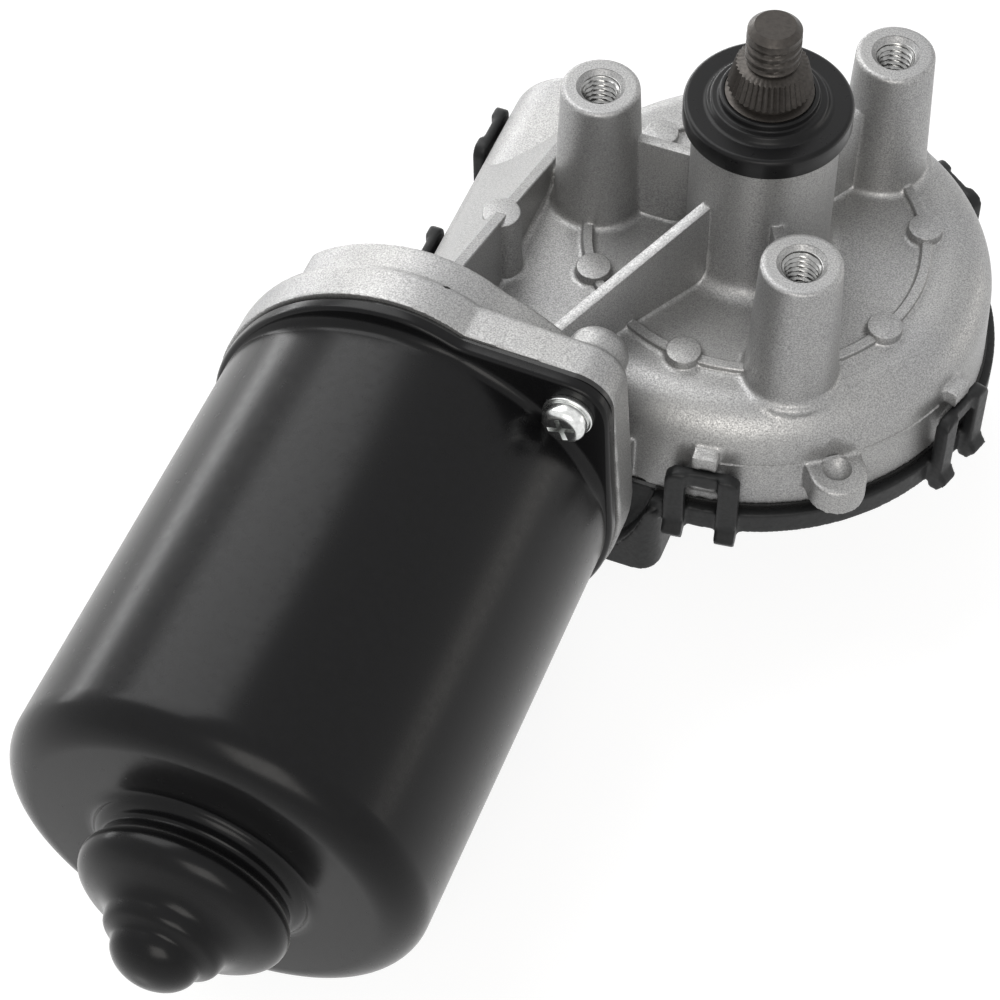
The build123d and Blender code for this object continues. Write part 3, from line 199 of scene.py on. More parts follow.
SPOT_EAR_R = 4.4
SPOT_EAR_ROOT = 33.0
SPOT_EAR_REACH = 39.4
SPOT_EAR_HEIGHT = 5.1
SPOT_HOLE_REACH = 39.0
SPOT_HOLE_R = 2.2
SPOT_HOLE_DEPTH = 3.2
SPOT_CUT_R = 2.6
SPOT_CUT_RISE = 6.0
SEAM_ANGLES = (-79.0, -22.0)
SEAM_POINTS = 400
SEAM_LEAST_HEIGHT = 0.16
SEAM_MORE_HEIGHT = 0.14
SEAM_WAVES = (310, 173)
SEAM_WAVE_SHIFT = 1.0
SEAM_DEPTH = 0.3
SEAM_HALF_WIDTH = 0.22
CLIP_ANGLES = (-82.0, -17.8, 53.2)
LUG_ROOT = 2.0
LUG_REACH = 2.3
LUG_HEIGHT = 4.0
LUG_TOP_GAP = 0.4
LUG_SIDE_GAP = 0.5
STOP_LUG_ANGLES = (-82.0, -17.8)
STOP_LUG_ROOT = 3.0
STOP_LUG_REACH = 1.9
STOP_LUG_HALF_WIDTH = 1.95
STOP_LUG_HEIGHT = 2.6
STOP_LUG_GAP = 0.3
CLIP_SIDE_YS = (15.4, -12.6)
CLIP_SIDE_INSET = 0.9
CLIP_WIDTH = 11.3
CLIP_LEG_WIDTH = 3.15
CLIP_BAR_HEIGHT = 3.1
CLIP_TOP_BELOW = 8.7
CLIP_CORNER = 2.0
CLIP_CUT_REACH = (0.4, 4.5)
COVER_VOXEL = 0.34
COVER_TRIANGLES = 190000

# ---------------- can
CAN_TURNS = 480
CAN_R = 31.5
CAN_BORE_R = 29.7
CAN_BACK_Y = -49.8
PLATE_Y = -51.6
PLATE_R = FLANGE_R - 0.4
PLATE_EDGE = 0.7
PLATE_SOFTENING = 12
FLARE = 1.7
LEAST_FLARE = 0.1
FLARE_ROOM = 0.05
FLARE_SOFTENING = 60
CAN_END_Y = -124.2
CAN_END_ROUND = 5.8
END_FACE_R = 18.1
SHELL_THICKNESS = 1.8
INNER_RING_R = 15.2 - SHELL_THICKNESS
INNER_STEP_R = 9.2 - SHELL_THICKNESS
INNER_DOME_R = 6.6 - SHELL_THICKNESS
INNER_END_Y = CAN_END_Y + SHELL_THICKNESS
INNER_RING_Y = -132.1 + SHELL_THICKNESS
INNER_TIP_Y = -143.6 + SHELL_THICKNESS
# (distance past the can's end face, radius), from the tip to the face
NOSE_PROFILE = (
    (18.95, 0), (18.95, 1.6), (18.5, 3.3), (17.6, 4.9), (16.4, 6.0), (15.3, 6.4), (14.6, 6.6), (14.1, 7.3),
    (13.5, 8.4), (12.5, 8.8), (11.4, 9.1), (10.4, 10.2), (9.6, 12.0), (8.8, 13.8), (7.6, 15.2), (5.8, 15.7),
    (4.6, 15.3), (3.9, 14.4), (3.0, 14.1), (2.1, 14.2), (1.7, 15.2), (1.1, 15.9), (0.5, 16.1), (0.1, 16.7),
    (0.0, 17.6),
)

# ---------------- screws, cap and shaft
SCREW_R = 2.5
SCREW_END_Y = -40.5
WASHER_R = 3.75
WASHER_BORE_R = SCREW_R + 0.1
WASHER_Y = PLATE_Y - 0.9
WASHER_EDGE = 0.2
WASHER_FOOT_EDGE = 0.1
HEAD_R = 3.3
HEAD_Y = WASHER_Y - 2.5
HEAD_ROUND = 1.3
HEAD_FOOT_ROUND = 0.15
RECESS_TURNS = (20.0, 110.0)
RECESS_HALF_WIDTH = 0.4
# (depth below the head's top, half length of a wing)
RECESS_SECTIONS = ((-1, 2.3), (0, 2.1), (1.9, 1.0))
SHAFT_R = 6.5
WAIST_R = 5.3
CAP_LOW_Z = NECK_TOP_Z - 0.8
CAP_TOP_Z = NECK_TOP_Z + 2.8
CAP_STEP_Z = CAP_TOP_Z + 0.9
CAP_LIP_TOP_Z = CAP_TOP_Z + 2.1
CAP_SEAT_Z = NECK_TOP_Z + 0.02
CAP_CEILING_Z = NECK_TOP_Z + 1.9
# (radius, height, corner radius), from the skirt's foot over the rim, the disc and two lips to the seat
CAP_PROFILE = (
    (NECK_R + 0.05, CAP_LOW_Z), (12.5, CAP_LOW_Z, 0.3), (12.5, CAP_TOP_Z, 0.7), (9.1, CAP_TOP_Z - 0.25, 0.9),
    (8.5, CAP_STEP_Z, 0.5), (7.4, CAP_STEP_Z, 0.3), (7.3, CAP_LIP_TOP_Z, 0.36),
    (SHAFT_R + 0.03, CAP_LIP_TOP_Z, 0.2), (SHAFT_R + 0.03, CAP_CEILING_Z), (9.6, CAP_CEILING_Z),
    (9.6, CAP_SEAT_Z), (NECK_R + 0.05, CAP_SEAT_Z),
)
TAPER_Z = FACE_Z + 34.2
TAPER_HEIGHT = 4.0
TAPER_TOP_Z = TAPER_Z + TAPER_HEIGHT
TAPER_BASE_R = 6.3
TAPER_TOP_R = 5.3
TAPER_ROWS = 13
SERRATION_COUNT = 40
SERRATION_DEPTH = 0.35
SERRATION_POINTS = 8
STUD_R = 4.0
STUD_TOP_Z = FACE_Z + 45.6
STUD_TIP_R = 3.1
STUD_PITCH = 1.6
STUD_ROWS = 14
STUD_THREAD_DEPTH = 0.5
STUD_THREAD_LOW_Z = TAPER_TOP_Z + 0.9
STUD_THREAD_END_Z = STUD_TOP_Z - 1.9
# How the thread fades: the share it starts with, and the heights over which it grows and runs out.
STUD_FADE_SHARE = 0.2
STUD_FADE_IN = 0.6
STUD_FADE_OUT = 0.5
# (height, radius): journal and waist, groove between taper and thread, plain tip
SHAFT_PROFILE = ((SHAFT_LOW_Z, SHAFT_R - 0.6), (SHAFT_LOW_Z + 0.6, SHAFT_R), (CAP_LIP_TOP_Z, SHAFT_R),
                 (CAP_LIP_TOP_Z + 0.3, WAIST_R), (TAPER_Z - 0.35, WAIST_R))
GROOVE_PROFILE = ((TAPER_TOP_Z + 0.25, STUD_R + 0.3), (TAPER_TOP_Z + 0.5, STUD_R - 0.45))
TIP_PROFILE = ((STUD_THREAD_END_Z + 0.05, STUD_R - 0.05), (STUD_TOP_Z - 0.9, STUD_R - 0.05),
               (STUD_TOP_Z - 0.12, STUD_TIP_R + 0.05), (STUD_TOP_Z, STUD_TIP_R - 0.1))
# (stretch, drop) of the zigzag that a thread's flats are clipped from
STUD_FLATS = (2.2, 0.3)
BORE_FLATS = (1.4, 0.2)

# ---------------- outline of bell and can: a circle with two crowns and two screw ears
EAR_ANGLE = 45.0
EAR_R = 5.8
EAR_CIRCLE_R = 36.2
CROWN_ANGLE = 96.0
CROWN_R = 20.0
CROWN_FALL = 62.0
OUTLINE_POINTS = 360


# ---------------- surfaces on a grid
def grid_faces(rows, columns, wrap_rows, wrap_columns):
    """Four-cornered faces between neighbouring points of a (rows, columns) grid."""
    row = np.arange(rows if wrap_rows else rows - 1)
    column = np.arange(columns if wrap_columns else columns - 1)
    row, column = np.meshgrid(row, column, indexing="ij")
    next_row = (row + 1) % rows
    next_column = (column + 1) % columns
    corners = [row * columns + column, row * columns + next_column,
               next_row * columns + next_column, next_row * columns + column]
    return np.stack(corners, axis=-1).reshape(-1, 4)


def rounded(corners, steps=6, closed=False):
    """A line through (a, b) corners; a third number turns that corner into an arc of that radius.

    The arc touches both sides radius * tan(turn / 2) from the corner."""
    points = []
    count = len(corners)
    for number, corner in enumerate(corners):
        here = np.array(corner[:2], float)
        if len(corner) < 3 or (not closed and number in (0, count - 1)):
            points.append(here)
            continue
        back = np.array(corners[number - 1][:2], float) - here
        on = np.array(corners[(number + 1) % count][:2], float) - here
        back /= np.linalg.norm(back)
        on /= np.linalg.norm(on)
        half = math.acos(np.clip(back @ on, -1, 1)) / 2
        middle = back + on
        centre = here + middle / np.linalg.norm(middle) * corner[2] / math.sin(half)
        start = here + back * corner[2] / math.tan(half) - centre
        end = here + on * corner[2] / math.tan(half) - centre
        turn = math.pi - 2 * half
        share = np.linspace(0, 1, steps + 1)[:, None]
        arc = (np.sin((1 - share) * turn) * start + np.sin(share * turn) * end) / math.sin(turn)
        points += list(centre + arc)
    return np.array(points)


def about_output(profile, turns=128, centre=(0.0, 0.0)):
    """Point grid of (radius, z) turned about an upright axis: x = r cos a, y = r sin a."""
    angle = np.linspace(0, 2 * math.pi, turns, endpoint=False)
    radius = profile[:, 0][:, None]
    height = np.repeat(profile[:, 1][:, None], turns, axis=1)
    x = centre[0] + radius * np.cos(angle)
    y = centre[1] + radius * np.sin(angle)
    return np.stack([x, y, height], axis=-1)


def waved_about_output(rows, turn):
    """Point grid of (height, radius) rows; a radius is one number or one for each share of a turn.

    x = r cos(2 pi t), y = r sin(2 pi t), z = height."""
    angle = turn * 2 * math.pi
    around = np.ones(len(turn))
    return np.stack([np.stack([radius * np.cos(angle), radius * np.sin(angle), z * around], axis=-1)
                     for z, radius in rows])


def about_motor(profile, turns=128, across=0.0, up=0.0):
    """Point grid of (y, radius) turned about the motor axis or a line beside it: x = r cos a, z = r sin a."""
    angle = np.linspace(0, 2 * math.pi, turns, endpoint=False)
    radius = profile[:, 1][:, None]
    along = np.repeat(profile[:, 0][:, None], turns, axis=1)
    return np.stack([WORM_X + across + radius * np.cos(angle), along,
                     WORM_Z + up + radius * np.sin(angle)], axis=-1)


def between_rings(*rings):
    """Point grid of closed rings with the same number of points, one after another, shut by two poles."""
    first = np.repeat(rings[0].mean(axis=0)[None], len(rings[0]), axis=0)
    last = np.repeat(rings[-1].mean(axis=0)[None], len(rings[-1]), axis=0)
    return np.stack([first, *rings, last])


def upright(outline, low_z, high_z):
    """Closed (x, y) outline as two rings, at a low and a high z."""
    return between_rings(*[np.column_stack([outline, np.full(len(outline), z)]) for z in (low_z, high_z)])


def sections_along_motor(*sections):
    """(y, closed (x, z) outline about the motor axis) sections, joined in order."""
    return between_rings(*[np.column_stack([WORM_X + outline[:, 0], np.full(len(outline), y),
                                            WORM_Z + outline[:, 1]]) for y, outline in sections])


def along_motor(outline, start_y, end_y):
    """Closed (x, z) outline about the motor axis as two rings, at a start and an end y."""
    return sections_along_motor((start_y, outline), (end_y, outline))


def rod(start, end, radius):
    """Profile of a plain round rod or bore from a start to an end along its axis."""
    return np.array([(start, 0), (start, radius), (end, radius), (end, 0)])


def block(low, high):
    """A box between two corners, as an upright outline."""
    outline = np.array([(low[0], low[1]), (high[0], low[1]), (high[0], high[1]), (low[0], high[1])], float)
    return upright(outline, low[2], high[2])


def moved(grid, angle=0.0, place=(0.0, 0.0)):
    """A point grid moved to a place and then turned about the output axis."""
    turn = math.radians(angle)
    x = grid[..., 0] + place[0]
    y = grid[..., 1] + place[1]
    return np.stack([x * math.cos(turn) - y * math.sin(turn), x * math.sin(turn) + y * math.cos(turn),
                     grid[..., 2]], axis=-1)


def on_wall(grid, wall_x, wall_y, angle):
    """A point grid turned to an angle and then moved to a place on the wall."""
    turned = moved(grid, angle)
    turned[..., 0] += wall_x
    turned[..., 1] += wall_y
    return turned


def mesh_of(name, grids, wrap_rows=False, wrap_columns=True):
    """One mesh from several point grids; doubled points at poles and seams are merged."""
    verts, faces, start = [], [], 0
    for grid in grids:
        rows, columns = grid.shape[:2]
        verts.append(grid.reshape(-1, 3))
        faces.append(grid_faces(rows, columns, wrap_rows, wrap_columns) + start)
        start += rows * columns
    mesh = bpy.data.meshes.new(name)
    mesh.from_pydata(np.concatenate(verts) * MM, [], np.concatenate(faces).tolist())
    tidy = bmesh.new()
    tidy.from_mesh(mesh)
    bmesh.ops.remove_doubles(tidy, verts=tidy.verts, dist=GRID_MERGE)
    bmesh.ops.dissolve_degenerate(tidy, edges=tidy.edges, dist=SHORTEST_EDGE)
    bmesh.ops.recalc_face_normals(tidy, faces=tidy.faces)
    tidy.to_mesh(mesh)
    tidy.free()
    return mesh


def new_object(name, data):
    """An object in the scene that holds a mesh, a lamp or a lens."""
    piece = bpy.data.objects.new(name, data)
    bpy.context.scene.collection.objects.link(piece)
    return piece


def shade(mesh, sharp_angle=40.0):
    """Smooth shading that breaks at edges sharper than an angle."""
    mesh.shade_smooth()
    mesh.set_sharp_from_angle(angle=math.radians(sharp_angle))


def grid_piece(name, grids, sharp_angle, wrap_rows=False, wrap_columns=True):
    """A shaded object from point grids."""
    piece = new_object(name, mesh_of(name, grids, wrap_rows, wrap_columns))
    shade(piece.data, sharp_angle)
    return piece


def settled(piece):
    """Applies a piece's modifiers to its mesh."""
    bpy.context.view_layer.update()
    graph = bpy.context.evaluated_depsgraph_get()
    mesh = bpy.data.meshes.new_from_object(piece.evaluated_get(graph))
    piece.modifiers.clear()
    piece.data = mesh
    return mesh


def carve(piece, cutters):
    """Takes each cutter, a list of closed point grids, out of a closed piece."""
    for number, cutter in enumerate(cutters):
        tool = new_object(f"{piece.name}_cutter_{number}", mesh_of("cutter", cutter))
        cut = piece.modifiers.new("cut", "BOOLEAN")
        cut.operation = "DIFFERENCE"
        cut.solver = "MANIFOLD"
        cut.object = tool
        settled(piece)
        bpy.data.objects.remove(tool)


def soften_skin(piece, voxel, budget):
    """Cast or moulded skin: fuses closed shells at a voxel's size and thins them to a budget of triangles.

    Each smoothing pass moves a point halfway towards its neighbours' middle, which rounds edges and roots."""
    melt = piece.modifiers.new("melt", "REMESH")
    melt.mode = "VOXEL"
    melt.voxel_size = voxel * MM
    soften = piece.modifiers.new("soften", "SMOOTH")
    soften.factor = 0.5
    soften.iterations = SKIN_PASSES
    count = len(settled(piece).polygons) * 2
    if count > budget:
        thin = piece.modifiers.new("thin", "DECIMATE")
        thin.ratio = budget / count
        settled(piece)


def place_piece(piece, slot, *nodes, body=CASING, material=None):
    """A piece rides its body, takes its slot's finish or a given one, and stands for the named nodes."""
    piece.data.materials.clear()
    piece.data.materials.append(material or FINISHES[slot])
    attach(piece, body)
    if nodes:
        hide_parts(*nodes)


# ---------------- outlines
def on_circle(radius, angle):
    """(x, y) at a distance and an angle from the origin."""
    turn = math.radians(angle)
    return np.array([radius * math.cos(turn), radius * math.sin(turn)])


def circle_reach(angle, centre, radius):
    """How far a ray from the origin at each angle goes until it leaves a circle, or 0 where it misses."""
    along = centre[0] * np.cos(angle) + centre[1] * np.sin(angle)
    aside = centre[0] ** 2 + centre[1] ** 2 - along ** 2
    inside = radius ** 2 - aside
    return np.where((inside > 0) & (along > 0), along + np.sqrt(np.maximum(inside, 0)), 0)


def ear_reach(angle, base_r, ear_r):
    """Distance from the motor axis to the straight sides and round end of one screw ear, or 0 beside it.

    The sides touch both the base circle and the ear's circle, so their normals lie off the ear's angle
    by acos((base - ear) / centre distance)."""
    off = math.acos((base_r - ear_r) / EAR_CIRCLE_R)
    turn = (angle - math.radians(EAR_ANGLE) + math.pi) % (2 * math.pi) - math.pi
    side = np.abs(turn)
    line = base_r / np.maximum(np.cos(off - side), 1e-6)
    round_end = circle_reach(turn, (EAR_CIRCLE_R, 0.0), ear_r)
    at_tangent = math.atan2(ear_r * math.sin(off), EAR_CIRCLE_R + ear_r * math.cos(off))
    return np.where(side <= at_tangent, round_end, np.where(side <= off, line, 0))


def ear_and_crown_reach(angle, base_r, crown_rise, ears=True, ear_r=EAR_R):
    """Distance from the motor axis to the outline: the furthest of circle, crowns and ears at each angle.

    Past each crown's top the rise falls by a squared cosine over CROWN_FALL degrees."""
    reach = np.full(len(angle), base_r, float)
    for half in (0.0, 180.0):
        past = (np.degrees(angle) - CROWN_ANGLE - half) % 360 / CROWN_FALL
        rise = np.where(past < 1, crown_rise * np.cos(past * math.pi / 2) ** 2, 0)
        reach = np.maximum(reach, base_r + rise)
        crown = on_circle(base_r + crown_rise - CROWN_R, CROWN_ANGLE + half)
        reach = np.maximum(reach, circle_reach(angle, crown, CROWN_R))
        if ears:
            reach = np.maximum(reach, ear_reach(angle - math.radians(half), base_r, ear_r))
    return reach


def softened(reach, passes):
    """Each pass averages a closed run of distances with its neighbours, which rounds inner corners."""
    for _ in range(passes):
        reach = (np.roll(reach, 1) + 2 * reach + np.roll(reach, -1)) / 4
    return reach


def eared(base_r, crown_rise, ears=True, ear_r=EAR_R):
    """Closed (x, z) outline about the motor axis, from the reach at each angle."""
    angle = np.linspace(0, 2 * math.pi, OUTLINE_POINTS, endpoint=False)
    reach = ear_and_crown_reach(angle, base_r, crown_rise, ears, ear_r)
    return np.column_stack([reach * np.cos(angle), reach * np.sin(angle)])


def at_screws(profile, turns):
    """Point grids of a (y, radius) profile turned about the line of each can screw."""
    return [about_motor(profile, turns, across, up) for across, up in screw_places()]


def screw_places():
    """(across, up) of the two can screws from the motor axis."""
    return [on_circle(EAR_CIRCLE_R, EAR_ANGLE + half) for half in (0.0, 180.0)]


def tunnel_side():
    """Closed (x, y) outline of the case's corner under the worm tunnel."""
    high_x = WORM_X + TUNNEL_R
    return rounded([(TUNNEL_SIDE_X, BEHIND_BELL_Y), (high_x, BEHIND_BELL_Y), (high_x, TUNNEL_END_Y),
                    (TUNNEL_SIDE_X, TUNNEL_END_Y, TUNNEL_SIDE_ROUND)], closed=True)


# ---------------- the casting
def boss_grid(angle):
    """A tapered post with a rounded top edge and a filleted foot."""
    foot_r = BOSS_BASE_R + BOSS_FOOT_ROUND
    profile = rounded([
        (0, ROOT_Z), (foot_r, ROOT_Z), (foot_r, FACE_Z), (BOSS_BASE_R, FACE_Z, BOSS_FOOT_ROUND),
        (BOSS_TOP_R, 0, BOSS_EDGE_ROUND), (0, 0),
    ])
    return moved(about_output(profile, turns=64), angle, (BOSS_CIRCLE_R, 0))


def rib_grid(angle, end_r, start_above, end_above, foot_z, shrink):
    """A rib from inside the neck outwards, with drafted sides and broken top edges.

    A shrunken rib lies just under its full-sized twin and only gives the skin its filleted foot."""
    half = RIB_WIDTH / 2 - shrink
    foot_half = half + RIB_DRAFT
    edge = EDGE_BREAK
    middle = EDGE_BREAK_MIDDLE * edge
    rings = []
    for reach, above in ((NECK_R / 2, start_above), (end_r, end_above)):
        top = FACE_Z + above - shrink
        section = [(-foot_half, foot_z), (foot_half, foot_z), (half, top - edge),
                   (half - middle, top - middle), (half - edge, top), (edge - half, top),
                   (middle - half, top - middle), (-half, top - edge)]
        rings.append(np.array([(reach, y, z) for y, z in section], float))
    return moved(between_rings(*rings), angle)


def crest_grid(shrink):
    """The stiffening wall beside the tunnel and the slope that falls from it to the tunnel's side."""
    rings = []
    edge = EDGE_BREAK
    for y, height in ((BEHIND_BELL_Y, CREST_ABOVE + CREST_SLOPE),
                      (BELL_REAR_Y + CREST_ABOVE / CREST_SLOPE, 0)):
        top = FACE_Z + height - shrink
        inner = CREST_INNER_X - shrink
        outer = CREST_INNER_X - CREST_WIDTH + shrink
        rings.append(np.array([
            (inner, y, WORM_Z + WORM_BORE_R), (inner, y, top - edge), (inner - edge, y, top),
            (outer + edge, y, top), (outer, y, top - edge),
            (TUNNEL_SIDE_X + CREST_FOOT_INSET, y, WORM_Z + CREST_FOOT_RISE - shrink),
        ], float))
    return between_rings(*rings)


def post_grid(foot_r, foot_z, top_r, top_z, edge, place, turns):
    """A round post that narrows from its foot to a rounded top edge."""
    profile = rounded([(0, foot_z), (foot_r, foot_z), (top_r, top_z, edge), (0, top_z)], steps=3)
    return about_output(profile, turns, place)


def knob_grid(shrink):
    """The round column against the crest, a little wider at its foot."""
    radius = KNOB_R - shrink
    return post_grid(KNOB_R + KNOB_FLARE - shrink, WORM_Z, radius, FACE_Z + KNOB_ABOVE - shrink, KNOB_EDGE,
                     KNOB_PLACE, turns=64)


def ring_rib_grid(shrink):
    """The round rib that runs through the posts."""
    half = RING_RIB_WIDTH / 2 - shrink
    inner = BOSS_CIRCLE_R - half
    outer = BOSS_CIRCLE_R + half
    top = FACE_Z + RING_RIB_ABOVE - shrink
    return about_output(np.array([
        (inner - RING_RIB_DRAFT, ROOT_Z), (outer + RING_RIB_DRAFT, ROOT_Z), (outer, top - EDGE_BREAK),
        (outer - EDGE_BREAK, top), (inner + EDGE_BREAK, top), (inner, top - EDGE_BREAK),
        (inner - RING_RIB_DRAFT, ROOT_Z),
    ]), turns=256)


def pad_grid(angle, shrink):
    """A round ejector pad on the ring rib; the one beside the neck is nearly flush."""
    above = FLUSH_PAD_ABOVE if angle == FLUSH_PAD_ANGLE else PAD_ABOVE
    radius = PAD_R - shrink
    return post_grid(radius + PAD_DRAFT, ROOT_Z, radius, FACE_Z + above - shrink, PAD_EDGE,
                     on_circle(BOSS_CIRCLE_R, angle), turns=48)


def raised_grids(shrink=0.0):
    """Ribs, crest, knob, ring rib and pads: full-sized and crisp, or shrunken to lie in the softened skin."""
    grids = [crest_grid(shrink), knob_grid(shrink), ring_rib_grid(shrink)]
    for angle in BOSS_ANGLES:
        grids.append(rib_grid(angle, BOSS_CIRCLE_R - BOSS_TOP_R + OVERLAP, RIB_ABOVE, RIB_ABOVE,
                              ROOT_Z, shrink))
    reach = -BEHIND_BELL_Y / math.cos(math.radians(BRACE_ANGLE + 90))
    grids.append(rib_grid(BRACE_ANGLE, reach, BRACE_ABOVE_NECK, BRACE_ABOVE_BELL,
                          FACE_Z - BOWL_ROUND, shrink))
    return grids + [pad_grid(angle, shrink) for angle in PAD_ANGLES]


def lug_grids():
    """The wedge behind each clip's window, and a rounded stop block above two of the bars."""
    window_top = FACE_Z - CLIP_TOP_BELOW - CLIP_BAR_HEIGHT
    low = window_top - LUG_HEIGHT
    high = window_top - LUG_TOP_GAP
    half = CLIP_WIDTH / 2 - CLIP_LEG_WIDTH - LUG_SIDE_GAP
    corners = [(-LUG_ROOT, low), (0, low), (LUG_REACH, high), (-LUG_ROOT, high)]
    wedge = between_rings(*[np.array([(x, y, z) for x, z in corners], float) for y in (-half, half)])
    stop_z = FACE_Z - CLIP_TOP_BELOW + STOP_LUG_GAP
    stop = block((BOWL_R - STOP_LUG_ROOT, -STOP_LUG_HALF_WIDTH, stop_z),
                 (BOWL_R + STOP_LUG_REACH, STOP_LUG_HALF_WIDTH, stop_z + STOP_LUG_HEIGHT))
    wedges = [on_wall(wedge, *clip) for clip in clip_frames()]
    return wedges + [moved(stop, angle) for angle in STOP_LUG_ANGLES]


def clip_frames():
    """(x, y, angle) of each clip's foot on the wall; its +X points outwards."""
    frames = [(*on_circle(BOWL_R, angle), angle) for angle in CLIP_ANGLES]
    return frames + [(TUNNEL_SIDE_X + CLIP_SIDE_INSET, y, 180.0) for y in CLIP_SIDE_YS]


def casting_shells():
    """Closed shells that make up the casting's outside; the lowest parts stop at the cover joint."""
    bowl = rounded([(0, RIM_Z), (BOWL_R, RIM_Z), (BOWL_TOP_R, FACE_Z, BOWL_ROUND), (0, FACE_Z)], steps=14)
    foot_r = NECK_R + NECK_FOOT_ROUND
    neck = rounded([
        (0, ROOT_Z), (foot_r, ROOT_Z), (foot_r, FACE_Z),
        (NECK_R, FACE_Z, NECK_FOOT_ROUND), (NECK_R, NECK_TOP_Z), (0, NECK_TOP_Z),
    ], steps=8)
    tunnel = rounded([(BEHIND_BELL_Y, 0), (BEHIND_BELL_Y, TUNNEL_R), (TUNNEL_END_Y, TUNNEL_R, TUNNEL_ROUND),
                      (TUNNEL_END_Y, 0)])
    shells = [about_output(bowl), about_output(neck), about_motor(tunnel)]
    shells.append(upright(tunnel_side(), RIM_Z, WORM_Z))
    shells.append(block((CREST_INNER_X, BEHIND_BELL_Y, RIM_Z), (*SHELF_HIGH, FACE_Z)))
    shells += [boss_grid(angle) for angle in BOSS_ANGLES]
    shells += raised_grids(UNDER_SKIN)
    turn = np.radians(np.linspace(-90, 90, 25))
    ledge = np.column_stack([SPOT_EAR_REACH + SPOT_EAR_R * np.cos(turn), SPOT_EAR_R * np.sin(turn)])
    ledge = np.concatenate([[(SPOT_EAR_ROOT, -SPOT_EAR_R)], ledge, [(SPOT_EAR_ROOT, SPOT_EAR_R)]])
    shells.append(moved(upright(ledge, PARTING_Z - SPOT_EAR_HEIGHT, PARTING_Z), SPOT_EAR_ANGLE))
    return shells + bell_shells() + lug_grids()


def bell_shells():
    """The bell: eared flange, round shoulder, saddle above the tunnel, bearing hub and screw bosses."""
    flange_rear_y = FLANGE_Y + FLANGE_THICKNESS
    flange = eared(FLANGE_R, FLANGE_CROWN_RISE)
    narrow = eared(FLANGE_R - FLANGE_BEVEL, FLANGE_CROWN_RISE, ear_r=EAR_R - FLANGE_BEVEL)
    plate = sections_along_motor((FLANGE_Y, flange), (flange_rear_y - FLANGE_BEVEL, flange),
                                 (flange_rear_y, narrow))
    saddle = eared(SADDLE_R, SADDLE_CROWN_RISE, ears=False)
    saddle[:, 0] = np.clip(saddle[:, 0], -SADDLE_LEFT, SADDLE_RIGHT)
    saddle[:, 1] = np.maximum(saddle[:, 1], RIM_Z - WORM_Z)
    saddle = np.column_stack([softened(side, SADDLE_SOFTENING) for side in saddle.T])
    shoulder = rounded([(FLANGE_Y, 0), (FLANGE_Y, SHOULDER_R), (SHOULDER_Y, SHOULDER_R, SHOULDER_ROUND),
                        (SHOULDER_Y, 0)])
    hub = rod(SHOULDER_Y - OVERLAP, HUB_FRONT_Y, HUB_R)
    low_tunnel = rod(HUB_FRONT_Y - OVERLAP, LOW_TUNNEL_END_Y, LOW_TUNNEL_R)
    shells = [plate, along_motor(saddle, flange_rear_y - OVERLAP, BELL_REAR_Y)]
    shells += [about_motor(shoulder), about_motor(hub), about_motor(low_tunnel)]
    shells.append(block((*WEB_LOW, RIM_Z), (*WEB_HIGH, PARTING_Z)))
    boss = rounded([(FLANGE_Y, 0), (FLANGE_Y, SCREW_BOSS_R),
                    (BELL_REAR_Y, SCREW_BOSS_R, SCREW_BOSS_ROUND), (BELL_REAR_Y, 0)])
    return shells + at_screws(boss, turns=48)


def casting_cutters():
    """What is cut away after fusing: first the room under the cover joint, then bores and holes."""
    far = 2 * BOWL_R
    floor_z = RIM_Z - OVERLAP
    under = block((-far, HUB_FRONT_Y, RIM_Z - HUB_R - UNDER_ROOM), (far, far, RIM_Z))
    cavity = rounded([(0, floor_z), (CAVITY_R, floor_z), (CAVITY_R, CEILING_Z, CAVITY_ROUND), (0, CEILING_Z)])
    bore = rod(floor_z, NECK_TOP_Z + OVERLAP, NECK_BORE_R)[:, ::-1]
    worm = rod(HUB_FRONT_Y - WORM_BORE_LEAD, WORM_BORE_END_Y, WORM_BORE_R)
    tail = rod(WORM_BORE_END_Y - OVERLAP, TUNNEL_END_Y + OVERLAP, TAIL_BORE_R)
    bell = rod(FLANGE_Y - OVERLAP, BELL_FLOOR_Y, BELL_BORE_R)
    cutters = [[under], [about_output(cavity)], [about_output(bore, turns=64)], [about_motor(worm, turns=64)],
               [about_motor(tail, turns=64)], [about_motor(bell)]]
    hole = about_output(np.array([
        (0, -HOLE_DEPTH - HOLE_TIP), (THREAD_MAJOR_R, -HOLE_DEPTH), (THREAD_MAJOR_R, -COUNTERSINK_DEPTH),
        (HOLE_MOUTH_R, -COUNTERSINK_RIM), (HOLE_MOUTH_R, OVERLAP), (0, OVERLAP),
    ]), turns=64)
    cutters += [[moved(hole, angle, (BOSS_CIRCLE_R, 0))] for angle in BOSS_ANGLES]
    spot_top = PARTING_Z + SPOT_CUT_RISE
    spot = np.array([(0, PARTING_Z - SPOT_HOLE_DEPTH), (SPOT_HOLE_R, PARTING_Z), (SPOT_CUT_R, PARTING_Z),
                     (SPOT_CUT_R, spot_top), (0, spot_top)])
    cutters.append([about_output(spot, turns=48, centre=on_circle(SPOT_HOLE_REACH, SPOT_EAR_ANGLE))])
    pit = rod(PIT_PLACE[2] - PIT_DEPTH, PIT_PLACE[2] + PIT_CUT_RISE, PIT_R)[:, ::-1]
    cutters.append([about_output(pit, turns=24, centre=PIT_PLACE[:2])])
    return cutters


